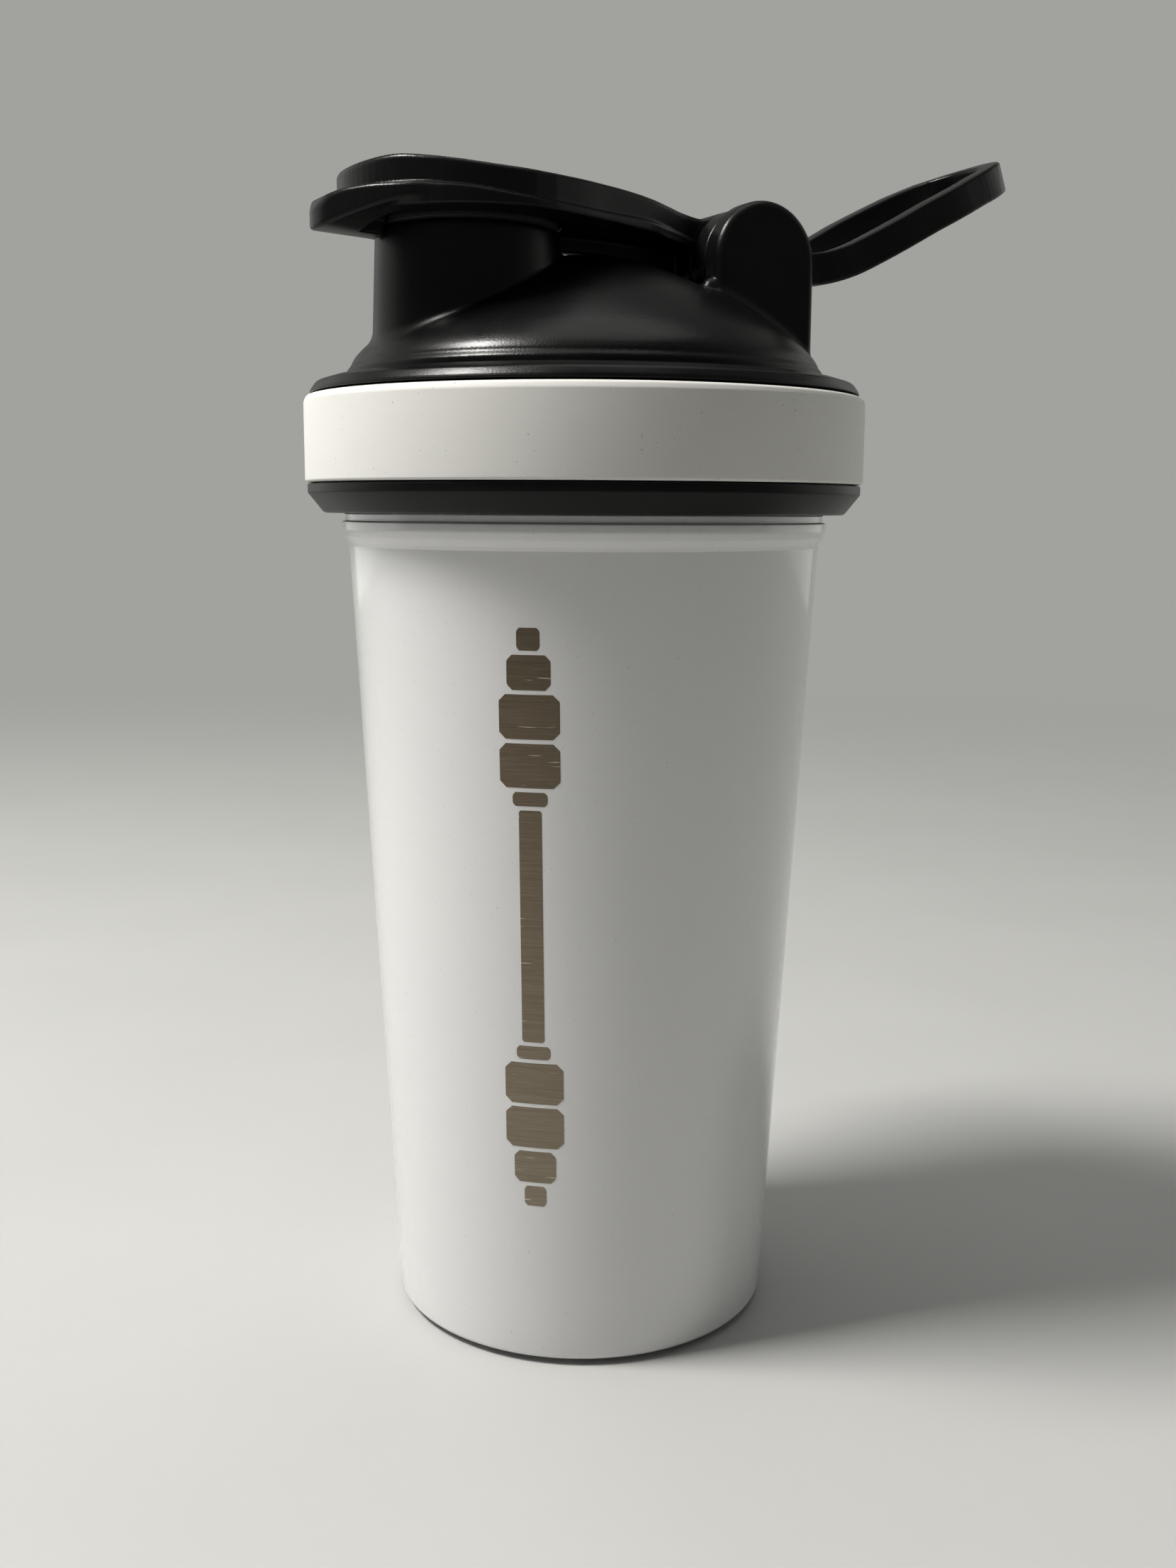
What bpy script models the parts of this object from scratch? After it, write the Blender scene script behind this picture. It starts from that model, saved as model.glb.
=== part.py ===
"""Protein shaker bottle: a double-walled steel cup with a screw-on lid, flip cap and carry loop.

Frame: metres, +Z up, origin at the centre of the base on the cup's axis. The spout faces -X, the
carry loop and the hinge are on +X, and the hinge pin runs along Y, so XZ is the plane of symmetry.
Run with: blender --background --python part.py
"""

from math import atan2, cos, pi, radians, sin, tan

import bmesh
import bpy
from mathutils import Matrix

MM = 0.001
WELD = 0.01 * MM                 # distance at which doubled points are merged

# ---------------------------------------------------------------- driving dimensions
STEPS = 48                       # facets round a turned piece
GAP = 0.3 * MM                   # clearance between pieces that touch on the real bottle
SHEET = 0.8 * MM                 # steel sheet of both walls and the base
SMOOTH_ANGLE = radians(30)       # edges sharper than this stay crisp

# cup, outside
BASE_RADIUS = 34.1 * MM          # where the straight wall would meet the table
WALL_SLOPE = 0.0539              # growth of the radius per unit of height
FOOT_RADIUS = 32.5 * MM          # outer edge of the flat foot
FOOT_CORNER = 1.9 * MM           # height where the rounded corner meets the straight wall
FOOT_INNER = 30.4 * MM
WALL_TOP = 139.8 * MM
BEAD_RADIUS = 42.9 * MM
BEAD_BOTTOM = 140.6 * MM
BEAD_TOP = 145.0 * MM
NECK_RADIUS = 40.6 * MM
NECK_TOP = 162.0 * MM

# cup, inside
LINER_MOUTH = 38.0 * MM          # leaves 2 mm of vacuum between the walls
LINER_FLOOR = 10.3 * MM

# thread: two starts, right-handed
THREAD_LEAD = 9.0 * MM
THREAD_STARTS = 2
THREAD_SWEEP = radians(200)
THREAD_ROOT_WIDTH = 2.3 * MM
THREAD_CREST_WIDTH = 1.1 * MM
NECK_THREAD_CREST = 42.3 * MM
LID_THREAD_CREST = 41.1 * MM
NECK_THREAD_START = 148.6 * MM   # height of a rib's middle at its lower end
THREAD_OVERLAP = 0.5 * MM        # how far a rib is sunk in its wall
LID_THREAD_RAISE = 1.2 * MM      # the lid's ribs start this far above the middle of the gap
LID_THREAD_LAG = radians(48)     # and this far round from the neck's

# lid
SKIRT_BOTTOM = 145.5 * MM
SKIRT_FOOT_RADIUS = 45.7 * MM
SKIRT_RADIUS = 48.6 * MM
SKIRT_CHAMFER_TOP = 148.6 * MM
BAND_SEAT_RADIUS = 46.5 * MM
BAND_BOTTOM = 150.2 * MM
BAND_TOP = 165.2 * MM
BAND_RADIUS = 49.0 * MM
RIM_RADIUS = 48.0 * MM
RIM_TOP = 168.5 * MM
DOME_RADIUS = 41.3 * MM
LID_BORE = 42.8 * MM
SEAL_SEAT = 164.9 * MM
CENTRING_RIB_OUTER = 37.2 * MM
CENTRING_RIB_BOTTOM = 160.6 * MM
LID_WALL = 2.0 * MM
DOME_SLOPE = 0.43
DOME_CROWN_RADIUS = 16.0 * MM    # inside it the cone is rounded off
DOME_SHOULDER = (36.0 * MM, 177.4 * MM)

# spout
SPOUT_X = -22.3 * MM
SPOUT_RADIUS_TOP = 15.5 * MM
SPOUT_RADIUS_BOTTOM = 16.2 * MM
SPOUT_BASE = 171.0 * MM
SPOUT_TOP = 191.5 * MM
SPOUT_BORE = 13.0 * MM

# hinge
PIVOT_X = 27.2 * MM
PIVOT_Z = 188.9 * MM
EAR_RADIUS = 9.6 * MM
EAR_OUTER = 16.0 * MM
EAR_THICKNESS = 4.6 * MM
EAR_FOOT = 172.0 * MM
EAR_NUB_RADIUS = 2.0 * MM
EAR_NUB_Z = 183.6 * MM
PIN_RADIUS = 2.0 * MM
PIN_HALF_LENGTH = 14.5 * MM
PIN_HOLE = 2.3 * MM
EYE_RADIUS = 9.5 * MM            # cap knuckle and loop eyes
SADDLE_RADIUS = 9.9 * MM         # relief in the dome under the knuckle and eyes

# flip cap
CAP_HEAD_RADIUS = 21.3 * MM
CAP_LIP_RADIUS = 22.4 * MM
CAP_KNUCKLE_HALF = 6.0 * MM
CAP_UNDERSIDE = 194.0 * MM
TAB_TIP_X = -49.6 * MM
TAB_NOSE_RADIUS = 7.0 * MM
TAB_BOTTOM = 190.0 * MM
TAB_KEEL_SLOPE = 0.30            # rise of the tab's underside from its middle to its sides
CAP_WEB_THICKNESS = 3.0 * MM
SEAL_POCKET_RADIUS = 16.2 * MM
SEAL_POCKET_TOP = 195.7 * MM
CAP_PLAN_BOTTOM = 185.0 * MM     # the plan's prism reaches past the cap on both sides
CAP_PLAN_TOP = 205.0 * MM
PAST_SIDE = 30.0 * MM            # half width of a side view's prism, past the widest piece

# carry loop
LOOP_THICKNESS = 5.0 * MM
LOOP_ARM_WIDTH = 4.8 * MM
LOOP_ROOT_HALF = 11.1 * MM
LOOP_MID_HALF = 14.0 * MM
LOOP_TIP_X = 90.0 * MM
LOOP_TIP_RADIUS = 13.0 * MM
LOOP_SLOPE = radians(27.0)
LOOP_BEND_START = 36.0 * MM
LOOP_BEND_RADIUS = 42.0 * MM

# evacuation hole in the base, with its sealing plug, and the getter
BASE_SHELL_UNDER = 2.1 * MM
BASE_SHELL_TOP = 7.0 * MM
PLUG_HOLE = 1.6 * MM
PLUG_DIMPLE = 2.0 * MM
GETTER_X = 14.0 * MM
GETTER_RADIUS = 4.0 * MM
GETTER_HEIGHT = 1.8 * MM

# whisk ball
BALL_RADIUS = 23.0 * MM
WIRE_RADIUS = 1.1 * MM
BALL_TURNS = 6
BALL_POINTS_PER_TURN = 14


# ---------------------------------------------------------------- scene and materials
def clear_scene():
    for obj in list(bpy.data.objects):
        bpy.data.objects.remove(obj, do_unlink=True)


def new_collection(name):
    collection = bpy.data.collections.new(name)
    bpy.context.scene.collection.children.link(collection)
    return collection


def new_material(name, colour, roughness, metallic=0.0):
    material = bpy.data.materials.new(name)
    material.use_nodes = True
    shader = material.node_tree.nodes["Principled BSDF"]
    shader.inputs["Base Color"].default_value = (*colour, 1.0)
    shader.inputs["Roughness"].default_value = roughness
    shader.inputs["Metallic"].default_value = metallic
    material.diffuse_color = (*colour, 1.0)
    return material


def smoothing_group(angle):
    """Geometry nodes that shade a mesh smooth and keep each edge sharper than the angle."""
    group = bpy.data.node_groups.new("Smooth by angle", "GeometryNodeTree")
    group.interface.new_socket("Geometry", in_out="INPUT", socket_type="NodeSocketGeometry")
    group.interface.new_socket("Geometry", in_out="OUTPUT", socket_type="NodeSocketGeometry")
    source = group.nodes.new("NodeGroupInput")
    faces = group.nodes.new("GeometryNodeSetShadeSmooth")
    edges = group.nodes.new("GeometryNodeSetShadeSmooth")
    edges.domain = "EDGE"
    edges.inputs["Shade Smooth"].default_value = False
    edge_angle = group.nodes.new("GeometryNodeInputMeshEdgeAngle")
    sharp = group.nodes.new("FunctionNodeCompare")
    sharp.operation = "GREATER_THAN"
    sharp.inputs["B"].default_value = angle
    result = group.nodes.new("NodeGroupOutput")
    group.links.new(source.outputs["Geometry"], faces.inputs["Geometry"])
    group.links.new(faces.outputs["Geometry"], edges.inputs["Geometry"])
    group.links.new(edge_angle.outputs["Unsigned Angle"], sharp.inputs["A"])
    group.links.new(sharp.outputs["Result"], edges.inputs["Selection"])
    group.links.new(edges.outputs["Geometry"], result.inputs["Geometry"])
    return group


def add_piece(obj, material, parent, smoothing):
    """Puts a finished piece in the model, shaded smooth, on the empty that carries its body."""
    parts.objects.link(obj)
    obj.data.materials.append(material)
    if obj.type == "MESH":
        modifier = obj.modifiers.new("Smooth", "NODES")
        modifier.node_group = smoothing
    bpy.context.view_layer.update()
    parent_to(obj, parent)
    return obj


def parent_to(child, parent):
    """Parents child without moving it."""
    child.parent = parent
    child.matrix_parent_inverse = parent.matrix_world.inverted()


def new_axis(name, location, parent=None):
    """An empty on a joint's axis: the pieces of one moving body are its children."""
    empty = bpy.data.objects.new(name, None)
    empty.empty_display_size = 20 * MM
    empty.location = location
    parts.objects.link(empty)
    bpy.context.view_layer.update()
    if parent:
        parent_to(empty, parent)
        bpy.context.view_layer.update()
    return empty


def as_cutter(obj):
    """A helper solid: used by Boolean modifiers, never part of the model."""
    cutters.objects.link(obj)
    obj.hide_render = True
    obj.display_type = "WIRE"
    return obj


def parent_cutters():
    """Each helper solid follows the object that it shapes."""
    bpy.context.view_layer.update()
    for obj in [*parts.objects, *cutters.objects]:
        for modifier in obj.modifiers:
            if modifier.type == "BOOLEAN":
                parent_to(modifier.object, obj)


# ---------------------------------------------------------------- shapes
def arc(centre_x, centre_y, radius, start, end, count):
    """Points on a circle from angle start to angle end, in degrees, both ends included."""
    points = []
    for i in range(count + 1):
        angle = radians(start + (end - start) * i / count)
        points.append((centre_x + radius * cos(angle), centre_y + radius * sin(angle)))
    return points


def turned(name, profile, closed=True, steps=STEPS):
    """A solid of revolution about Z from (radius, height) points, outer side first, top to bottom."""
    mesh = bpy.data.meshes.new(name)
    shape = bmesh.new()
    verts = [shape.verts.new((radius, 0.0, height)) for radius, height in profile]
    for first, second in zip(verts, verts[1:]):
        shape.edges.new((first, second))
    if closed:
        shape.edges.new((verts[-1], verts[0]))
    shape.to_mesh(mesh)
    shape.free()
    obj = bpy.data.objects.new(name, mesh)
    screw = obj.modifiers.new("Turn", "SCREW")
    screw.axis = "Z"
    screw.steps = steps
    screw.render_steps = steps
    screw.use_merge_vertices = True
    screw.merge_threshold = WELD
    return obj


def slab(name, outline, thickness, placement=Matrix()):
    """A flat plate: a filled 2D curve, thickened about its own plane, turned into a welded mesh."""
    curve = bpy.data.curves.new(name, "CURVE")
    curve.dimensions = "2D"
    curve.fill_mode = "BOTH"
    curve.extrude = thickness / 2
    spline = curve.splines.new("POLY")
    spline.points.add(len(outline) - 1)
    for point, (x, y) in zip(spline.points, outline):
        point.co = (x, y, 0.0, 1.0)
    spline.use_cyclic_u = True
    guide = bpy.data.objects.new(name + "_curve", curve)
    bpy.context.scene.collection.objects.link(guide)
    guide.matrix_world = placement
    bpy.context.view_layer.update()
    evaluated = guide.evaluated_get(bpy.context.evaluated_depsgraph_get())
    mesh = bpy.data.meshes.new_from_object(evaluated)
    mesh.name = name
    shape = bmesh.new()
    shape.from_mesh(mesh)
    bmesh.ops.remove_doubles(shape, verts=shape.verts, dist=WELD)
    bmesh.ops.dissolve_limit(shape, angle_limit=radians(0.1), verts=shape.verts, edges=shape.edges)
    bmesh.ops.recalc_face_normals(shape, faces=shape.faces)
    shape.to_mesh(mesh)
    shape.free()
    obj = bpy.data.objects.new(name, mesh)
    obj.matrix_world = placement.copy()
    bpy.data.objects.remove(guide, do_unlink=True)
    return obj


def plan_slab(name, outline, bottom, top):
    """A plate seen from above: outline in X and Y, between two heights."""
    return slab(name, outline, top - bottom, Matrix.Translation((0, 0, (bottom + top) / 2)))


def side_slab(name, outline, near, far):
    """A plate seen from the side: outline in X and Z, between two Y values."""
    upright = Matrix.Rotation(radians(90), 4, "X")
    return slab(name, outline, far - near, Matrix.Translation((0, (near + far) / 2, 0)) @ upright)


def front_slab(name, outline, rear, front):
    """A plate seen from the front: outline in Y and Z, between two X values."""
    facing = Matrix.Rotation(radians(90), 4, "Z") @ Matrix.Rotation(radians(90), 4, "X")
    return slab(name, outline, front - rear, Matrix.Translation(((rear + front) / 2, 0, 0)) @ facing)


def cylinder(name, radius, length, centre, axis="Z", top_radius=None, segments=STEPS):
    mesh = bpy.data.meshes.new(name)
    shape = bmesh.new()
    upper = radius if top_radius is None else top_radius
    bmesh.ops.create_cone(shape, cap_ends=True, segments=segments, radius1=radius, radius2=upper,
                          depth=length)
    turn = Matrix.Rotation(radians(90), 4, "X") if axis == "Y" else Matrix()
    bmesh.ops.transform(shape, matrix=turn, verts=shape.verts)
    shape.to_mesh(mesh)
    shape.free()
    obj = bpy.data.objects.new(name, mesh)
    obj.location = centre
    return obj


def ball(name, radius, centre):
    mesh = bpy.data.meshes.new(name)
    shape = bmesh.new()
    bmesh.ops.create_uvsphere(shape, u_segments=16, v_segments=10, radius=radius)
    shape.to_mesh(mesh)
    shape.free()
    obj = bpy.data.objects.new(name, mesh)
    obj.location = centre
    return obj


def boolean(obj, tool, operation):
    modifier = obj.modifiers.new(operation.title() + " " + tool.name, "BOOLEAN")
    modifier.operation = operation
    modifier.object = tool
    modifier.solver = "EXACT"
    return obj


def thread_rib(name, root_radius, crest_radius, start_height, start_angle):
    """One helical rib: a trapezoid face swept round Z while it climbs by the thread's lead."""
    root = THREAD_ROOT_WIDTH / 2
    crest = THREAD_CREST_WIDTH / 2
    corners = [(root_radius, -root), (crest_radius, -crest), (crest_radius, crest), (root_radius, root)]
    mesh = bpy.data.meshes.new(name)
    shape = bmesh.new()
    verts = [shape.verts.new((radius, 0.0, start_height + height)) for radius, height in corners]
    face = shape.faces.new(verts)
    count = round(STEPS * THREAD_SWEEP / (2 * pi))
    climb = THREAD_LEAD * THREAD_SWEEP / (2 * pi) / count
    bmesh.ops.spin(shape, geom=[face, *face.edges, *face.verts], cent=(0, 0, 0), axis=(0, 0, 1),
                   dvec=(0, 0, climb), angle=THREAD_SWEEP, steps=count, use_duplicate=False)
    bmesh.ops.recalc_face_normals(shape, faces=shape.faces)
    bmesh.ops.rotate(shape, cent=(0, 0, 0), matrix=Matrix.Rotation(start_angle, 3, "Z"), verts=shape.verts)
    shape.to_mesh(mesh)
    shape.free()
    return bpy.data.objects.new(name, mesh)


# ---------------------------------------------------------------- cup
def wall_radius(height):
    return BASE_RADIUS + WALL_SLOPE * height


def liner_radius(height):
    return LINER_MOUTH - WALL_SLOPE * (WALL_TOP - height) if height < WALL_TOP else LINER_MOUTH


def make_outer_shell():
    lip_inner = LINER_MOUTH + SHEET + GAP
    outside = [
        (lip_inner, NECK_TOP),
        (NECK_RADIUS - 0.4 * MM, NECK_TOP),
        (NECK_RADIUS, NECK_TOP - 0.5 * MM),
        (NECK_RADIUS, BEAD_TOP + 1.0 * MM),
        (NECK_RADIUS + 0.4 * MM, BEAD_TOP),
        (BEAD_RADIUS - 0.6 * MM, BEAD_TOP),
        (BEAD_RADIUS, BEAD_TOP - 0.6 * MM),
        (BEAD_RADIUS, BEAD_BOTTOM + 0.6 * MM),
        (BEAD_RADIUS - 0.4 * MM, BEAD_BOTTOM),
        (wall_radius(WALL_TOP), WALL_TOP),
        (wall_radius(FOOT_CORNER), FOOT_CORNER),
        (wall_radius(0) - 0.5 * MM, 0.6 * MM),
        (FOOT_RADIUS, 0.0),
        (FOOT_INNER, 0.0),
    ]
    inside = [
        (FOOT_INNER, SHEET),
        (FOOT_RADIUS - 0.3 * MM, SHEET),
        (wall_radius(FOOT_CORNER) - SHEET, FOOT_CORNER + 0.3 * MM),
        (wall_radius(WALL_TOP) - SHEET, WALL_TOP),
        (BEAD_RADIUS - SHEET - 0.3 * MM, BEAD_BOTTOM + 0.8 * MM),
        (BEAD_RADIUS - SHEET - 0.3 * MM, BEAD_TOP - SHEET - 0.2 * MM),
        (NECK_RADIUS - SHEET, BEAD_TOP + 0.4 * MM),
        (NECK_RADIUS - SHEET, NECK_TOP - SHEET),
        (lip_inner, NECK_TOP - SHEET),
    ]
    shell = turned("outer_shell", outside + inside)
    for start in range(THREAD_STARTS):
        angle = 2 * pi * start / THREAD_STARTS
        root = NECK_RADIUS - THREAD_OVERLAP
        rib = thread_rib(f"neck_rib_{start}", root, NECK_THREAD_CREST, NECK_THREAD_START, angle)
        boolean(shell, as_cutter(rib), "UNION")
    return shell


def make_inner_shell():
    corner = 5.0 * MM
    corner_top = LINER_FLOOR + corner
    radius = liner_radius(corner_top)
    inside = [(LINER_MOUTH, NECK_TOP), (LINER_MOUTH, WALL_TOP)]
    inside += arc(radius - corner, corner_top, corner, 0, -90, 4)
    inside.append((0.0, LINER_FLOOR))
    outside = [(LINER_MOUTH + SHEET, NECK_TOP), (LINER_MOUTH + SHEET, WALL_TOP)]
    outside += arc(radius - corner, corner_top, corner + SHEET, 0, -90, 4)
    outside.append((0.0, LINER_FLOOR - SHEET))
    return turned("inner_shell", outside + inside[::-1])


def make_base_shell():
    """The pressed bottom: a tray with an upturned edge and a raised dimple round the evacuation hole."""
    edge = wall_radius(BASE_SHELL_TOP / 2) - SHEET - GAP
    under = BASE_SHELL_UNDER
    raised = under + PLUG_DIMPLE
    profile = [
        (edge, BASE_SHELL_TOP),
        (edge, under + 1.0 * MM),
        (edge - 1.0 * MM, under),
        (6.5 * MM, under),
        (5.0 * MM, raised),
        (PLUG_HOLE, raised),
        (PLUG_HOLE, raised + SHEET),
        (4.6 * MM, raised + SHEET),
        (6.1 * MM, under + SHEET),
        (edge - 1.4 * MM, under + SHEET),
        (edge - SHEET, under + 1.4 * MM),
        (edge - SHEET, BASE_SHELL_TOP),
    ]
    return turned("base_shell", profile)


def make_base_disc():
    rim = FOOT_INNER - GAP
    profile = [(0.0, 1.5 * MM), (rim - 0.3 * MM, 1.5 * MM), (rim, 1.2 * MM), (rim, 0.3 * MM),
               (rim - 0.3 * MM, 0.0), (0.0, 0.0)]
    return turned("base_disc", profile, closed=False)


def make_vacuum_plug():
    """The bead that seals the evacuation hole: a stem in the hole and a domed head below it."""
    profile = [(0.0, 5.2 * MM), (1.0 * MM, 5.0 * MM), (1.2 * MM, 3.8 * MM), (3.2 * MM, 3.7 * MM),
               (3.8 * MM, 3.0 * MM), (3.2 * MM, 2.2 * MM), (0.0, 1.9 * MM)]
    return turned("vacuum_plug", profile, closed=False, steps=24)


def make_getter():
    """The pellet that keeps the vacuum, under the liner's floor."""
    centre_height = LINER_FLOOR - SHEET - GAP - GETTER_HEIGHT / 2
    return cylinder("getter", GETTER_RADIUS, GETTER_HEIGHT, (GETTER_X, 0, centre_height), segments=24)


# ---------------------------------------------------------------- lid
def dome_height(radius):
    """Outside of the dome: a cone with a rounded crown."""
    shoulder_radius, shoulder_height = DOME_SHOULDER
    crown = DOME_CROWN_RADIUS
    if radius > crown:
        return shoulder_height + DOME_SLOPE * (shoulder_radius - radius)
    edge = shoulder_height + DOME_SLOPE * (shoulder_radius - crown)
    return edge + DOME_SLOPE / 2 * (crown - radius * radius / crown)


def lid_outside():
    """The turned outside of the lid: dome, rim, seat for the grip band and skirt."""
    crown = [(radius, dome_height(radius)) for radius in (0.0, 8.0 * MM, 16.0 * MM, 33.0 * MM)]
    shoulder = [(36.2 * MM, 176.2 * MM), (38.9 * MM, 173.6 * MM), (40.4 * MM, 171.0 * MM)]
    rim = [
        (DOME_RADIUS, RIM_TOP),
        (44.0 * MM, RIM_TOP - 0.4 * MM),
        (46.6 * MM, RIM_TOP - 1.5 * MM),
        (RIM_RADIUS, BAND_TOP + GAP),
        (BAND_SEAT_RADIUS, BAND_TOP + GAP),
        (BAND_SEAT_RADIUS, BAND_BOTTOM),
        (SKIRT_RADIUS, BAND_BOTTOM),
        (SKIRT_RADIUS, SKIRT_CHAMFER_TOP),
        (SKIRT_FOOT_RADIUS, SKIRT_BOTTOM),
        (0.0, SKIRT_BOTTOM),
    ]
    return turned("lid_shell", crown + shoulder + rim, closed=False)


def add_spout(lid):
    height = SPOUT_TOP - SPOUT_BASE
    centre = (SPOUT_X, 0, SPOUT_BASE + height / 2)
    spout = cylinder("spout_wall", SPOUT_RADIUS_BOTTOM, height, centre, top_radius=SPOUT_RADIUS_TOP)
    boolean(lid, as_cutter(spout), "UNION")


def add_ear(lid, side, side_name):
    """One of the two ears that carry the hinge pin, with the nub that stops the open loop."""
    outline = [(PIVOT_X + EAR_RADIUS, EAR_FOOT)]
    outline += arc(PIVOT_X, PIVOT_Z, EAR_RADIUS, 0, 180, 16)
    outline.append((PIVOT_X - EAR_RADIUS, EAR_FOOT))
    near, far = sorted((side * EAR_OUTER, side * (EAR_OUTER - EAR_THICKNESS)))
    ear = side_slab("ear_" + side_name, outline, near, far)
    boolean(lid, as_cutter(ear), "UNION")
    nub_centre = (PIVOT_X - EAR_RADIUS + 0.4 * MM, side * (EAR_OUTER - EAR_THICKNESS / 2), EAR_NUB_Z)
    nub = ball("ear_nub_" + side_name, EAR_NUB_RADIUS, nub_centre)
    boolean(lid, as_cutter(nub), "UNION")


def hinge_cylinder(name, radius, length, segments=24):
    return cylinder(name, radius, length, (PIVOT_X, 0, PIVOT_Z), "Y", segments=segments)


def hollow_lid(lid):
    """The dome's hollow keeps a pad of wall under the hinge, where the saddle is cut from above."""
    rib_inner = CENTRING_RIB_OUTER - 1.6 * MM
    floor = SKIRT_BOTTOM - 1.0 * MM
    crown_radii = (0.0, 8.0 * MM, 16.0 * MM, 32.0 * MM)
    profile = [(radius, dome_height(radius) - LID_WALL) for radius in crown_radii]
    profile += [(35.2 * MM, 174.4 * MM), (rib_inner, 171.0 * MM), (rib_inner, floor), (0.0, floor)]
    cavity = turned("lid_cavity", profile, closed=False)
    between_ears = 2 * (EAR_OUTER - EAR_THICKNESS)
    pad = hinge_cylinder("hinge_pad", SADDLE_RADIUS + 1.6 * MM, between_ears + 4 * MM, segments=32)
    boolean(cavity, as_cutter(pad), "DIFFERENCE")
    boolean(lid, as_cutter(cavity), "DIFFERENCE")
    saddle = hinge_cylinder("hinge_saddle", SADDLE_RADIUS, between_ears + 0.2 * MM, segments=32)
    boolean(lid, as_cutter(saddle), "DIFFERENCE")


def cut_lid_bore(lid):
    """The bore for the cup's neck, with the seal's seat and the rib that centres the seal."""
    rib_inner = CENTRING_RIB_OUTER - 2.0 * MM
    floor = SKIRT_BOTTOM - 1.0 * MM
    profile = [
        (LID_BORE, SEAL_SEAT),
        (LID_BORE, SKIRT_BOTTOM + 1.2 * MM),
        (LID_BORE + 0.8 * MM, floor),
        (rib_inner, floor),
        (rib_inner, CENTRING_RIB_BOTTOM),
        (CENTRING_RIB_OUTER, CENTRING_RIB_BOTTOM),
        (CENTRING_RIB_OUTER, SEAL_SEAT),
    ]
    boolean(lid, as_cutter(turned("lid_bore", profile)), "DIFFERENCE")


def make_lid_shell():
    lid = lid_outside()
    add_spout(lid)
    add_ear(lid, -1, "left")
    add_ear(lid, 1, "right")
    hollow_lid(lid)
    cut_lid_bore(lid)

    bore_height = SPOUT_TOP - SPOUT_BASE + 2.0 * MM
    bore_centre = (SPOUT_X, 0, SPOUT_BASE + bore_height / 2)
    boolean(lid, as_cutter(cylinder("spout_bore", SPOUT_BORE, bore_height, bore_centre)), "DIFFERENCE")
    pin_hole = hinge_cylinder("pin_hole", PIN_HOLE, 2 * (PIN_HALF_LENGTH + GAP))
    boolean(lid, as_cutter(pin_hole), "DIFFERENCE")

    height = NECK_THREAD_START - THREAD_LEAD / THREAD_STARTS / 2 + LID_THREAD_RAISE
    for start in range(THREAD_STARTS):
        angle = 2 * pi * start / THREAD_STARTS + LID_THREAD_LAG
        rib = thread_rib(f"lid_rib_{start}", LID_BORE + THREAD_OVERLAP, LID_THREAD_CREST, height, angle)
        boolean(lid, as_cutter(rib), "UNION")
    return lid


def make_grip_band():
    inner = BAND_SEAT_RADIUS + GAP
    profile = [
        (inner, BAND_TOP - 0.1 * MM),
        (BAND_RADIUS - 1.4 * MM, BAND_TOP - 0.1 * MM),
        (BAND_RADIUS - 0.5 * MM, BAND_TOP - 0.4 * MM),
        (BAND_RADIUS, BAND_TOP - 1.1 * MM),
        (BAND_RADIUS, BAND_BOTTOM + GAP + 0.3 * MM),
        (BAND_RADIUS - 0.3 * MM, BAND_BOTTOM + GAP),
        (inner, BAND_BOTTOM + GAP),
    ]
    return turned("grip_band", profile)


def make_lid_seal():
    top = SEAL_SEAT - GAP
    bottom = NECK_TOP + GAP
    inner = CENTRING_RIB_OUTER + GAP
    outer = LID_BORE - GAP
    corner = 0.5 * MM
    profile = [(inner, top), (outer, top), (outer, bottom + corner), (outer - corner, bottom),
               (inner + corner, bottom), (inner, bottom + corner)]
    return turned("lid_seal", profile)


# ---------------------------------------------------------------- hinge, cap and loop
def make_hinge_pin():
    return hinge_cylinder("hinge_pin", PIN_RADIUS, 2 * PIN_HALF_LENGTH)


def cap_outline(head_radius):
    """Plan of the cap: a round head over the spout, narrowing to the knuckle."""
    widening = head_radius - CAP_HEAD_RADIUS
    rear_half = CAP_KNUCKLE_HALF - 0.4 * MM
    waist = [(0.0, 14.8 * MM), (6.0 * MM, 12.6 * MM), (11.0 * MM, 9.2 * MM), (14.5 * MM, 7.0 * MM)]
    far_side = [(x, y + widening) for x, y in waist] + [(18.0 * MM, rear_half), (PIVOT_X, rear_half)]
    near_side = [(x, -y) for x, y in far_side]
    return arc(SPOUT_X, 0, head_radius, 78, 282, 26) + near_side + far_side[::-1]


def make_cap_lip():
    """The thin lip round the cap's foot, wider than its head."""
    tip = SPOUT_X - CAP_LIP_RADIUS - 0.7 * MM
    side = [(17.5 * MM, 192.8 * MM), (13.0 * MM, 193.6 * MM), (5.0 * MM, 194.3 * MM), (-8.0 * MM, 195.2 * MM),
            (-28.0 * MM, 195.4 * MM), (-36.0 * MM, 196.2 * MM), (tip, 197.4 * MM),
            (tip, CAP_UNDERSIDE), (-2.0 * MM, CAP_UNDERSIDE), (17.5 * MM, 191.2 * MM)]
    lip = side_slab("cap_lip", side, -PAST_SIDE, PAST_SIDE)
    plan = plan_slab("lip_plan", cap_outline(CAP_LIP_RADIUS), CAP_PLAN_BOTTOM, CAP_PLAN_TOP)
    return boolean(lip, as_cutter(plan), "INTERSECT")


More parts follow.
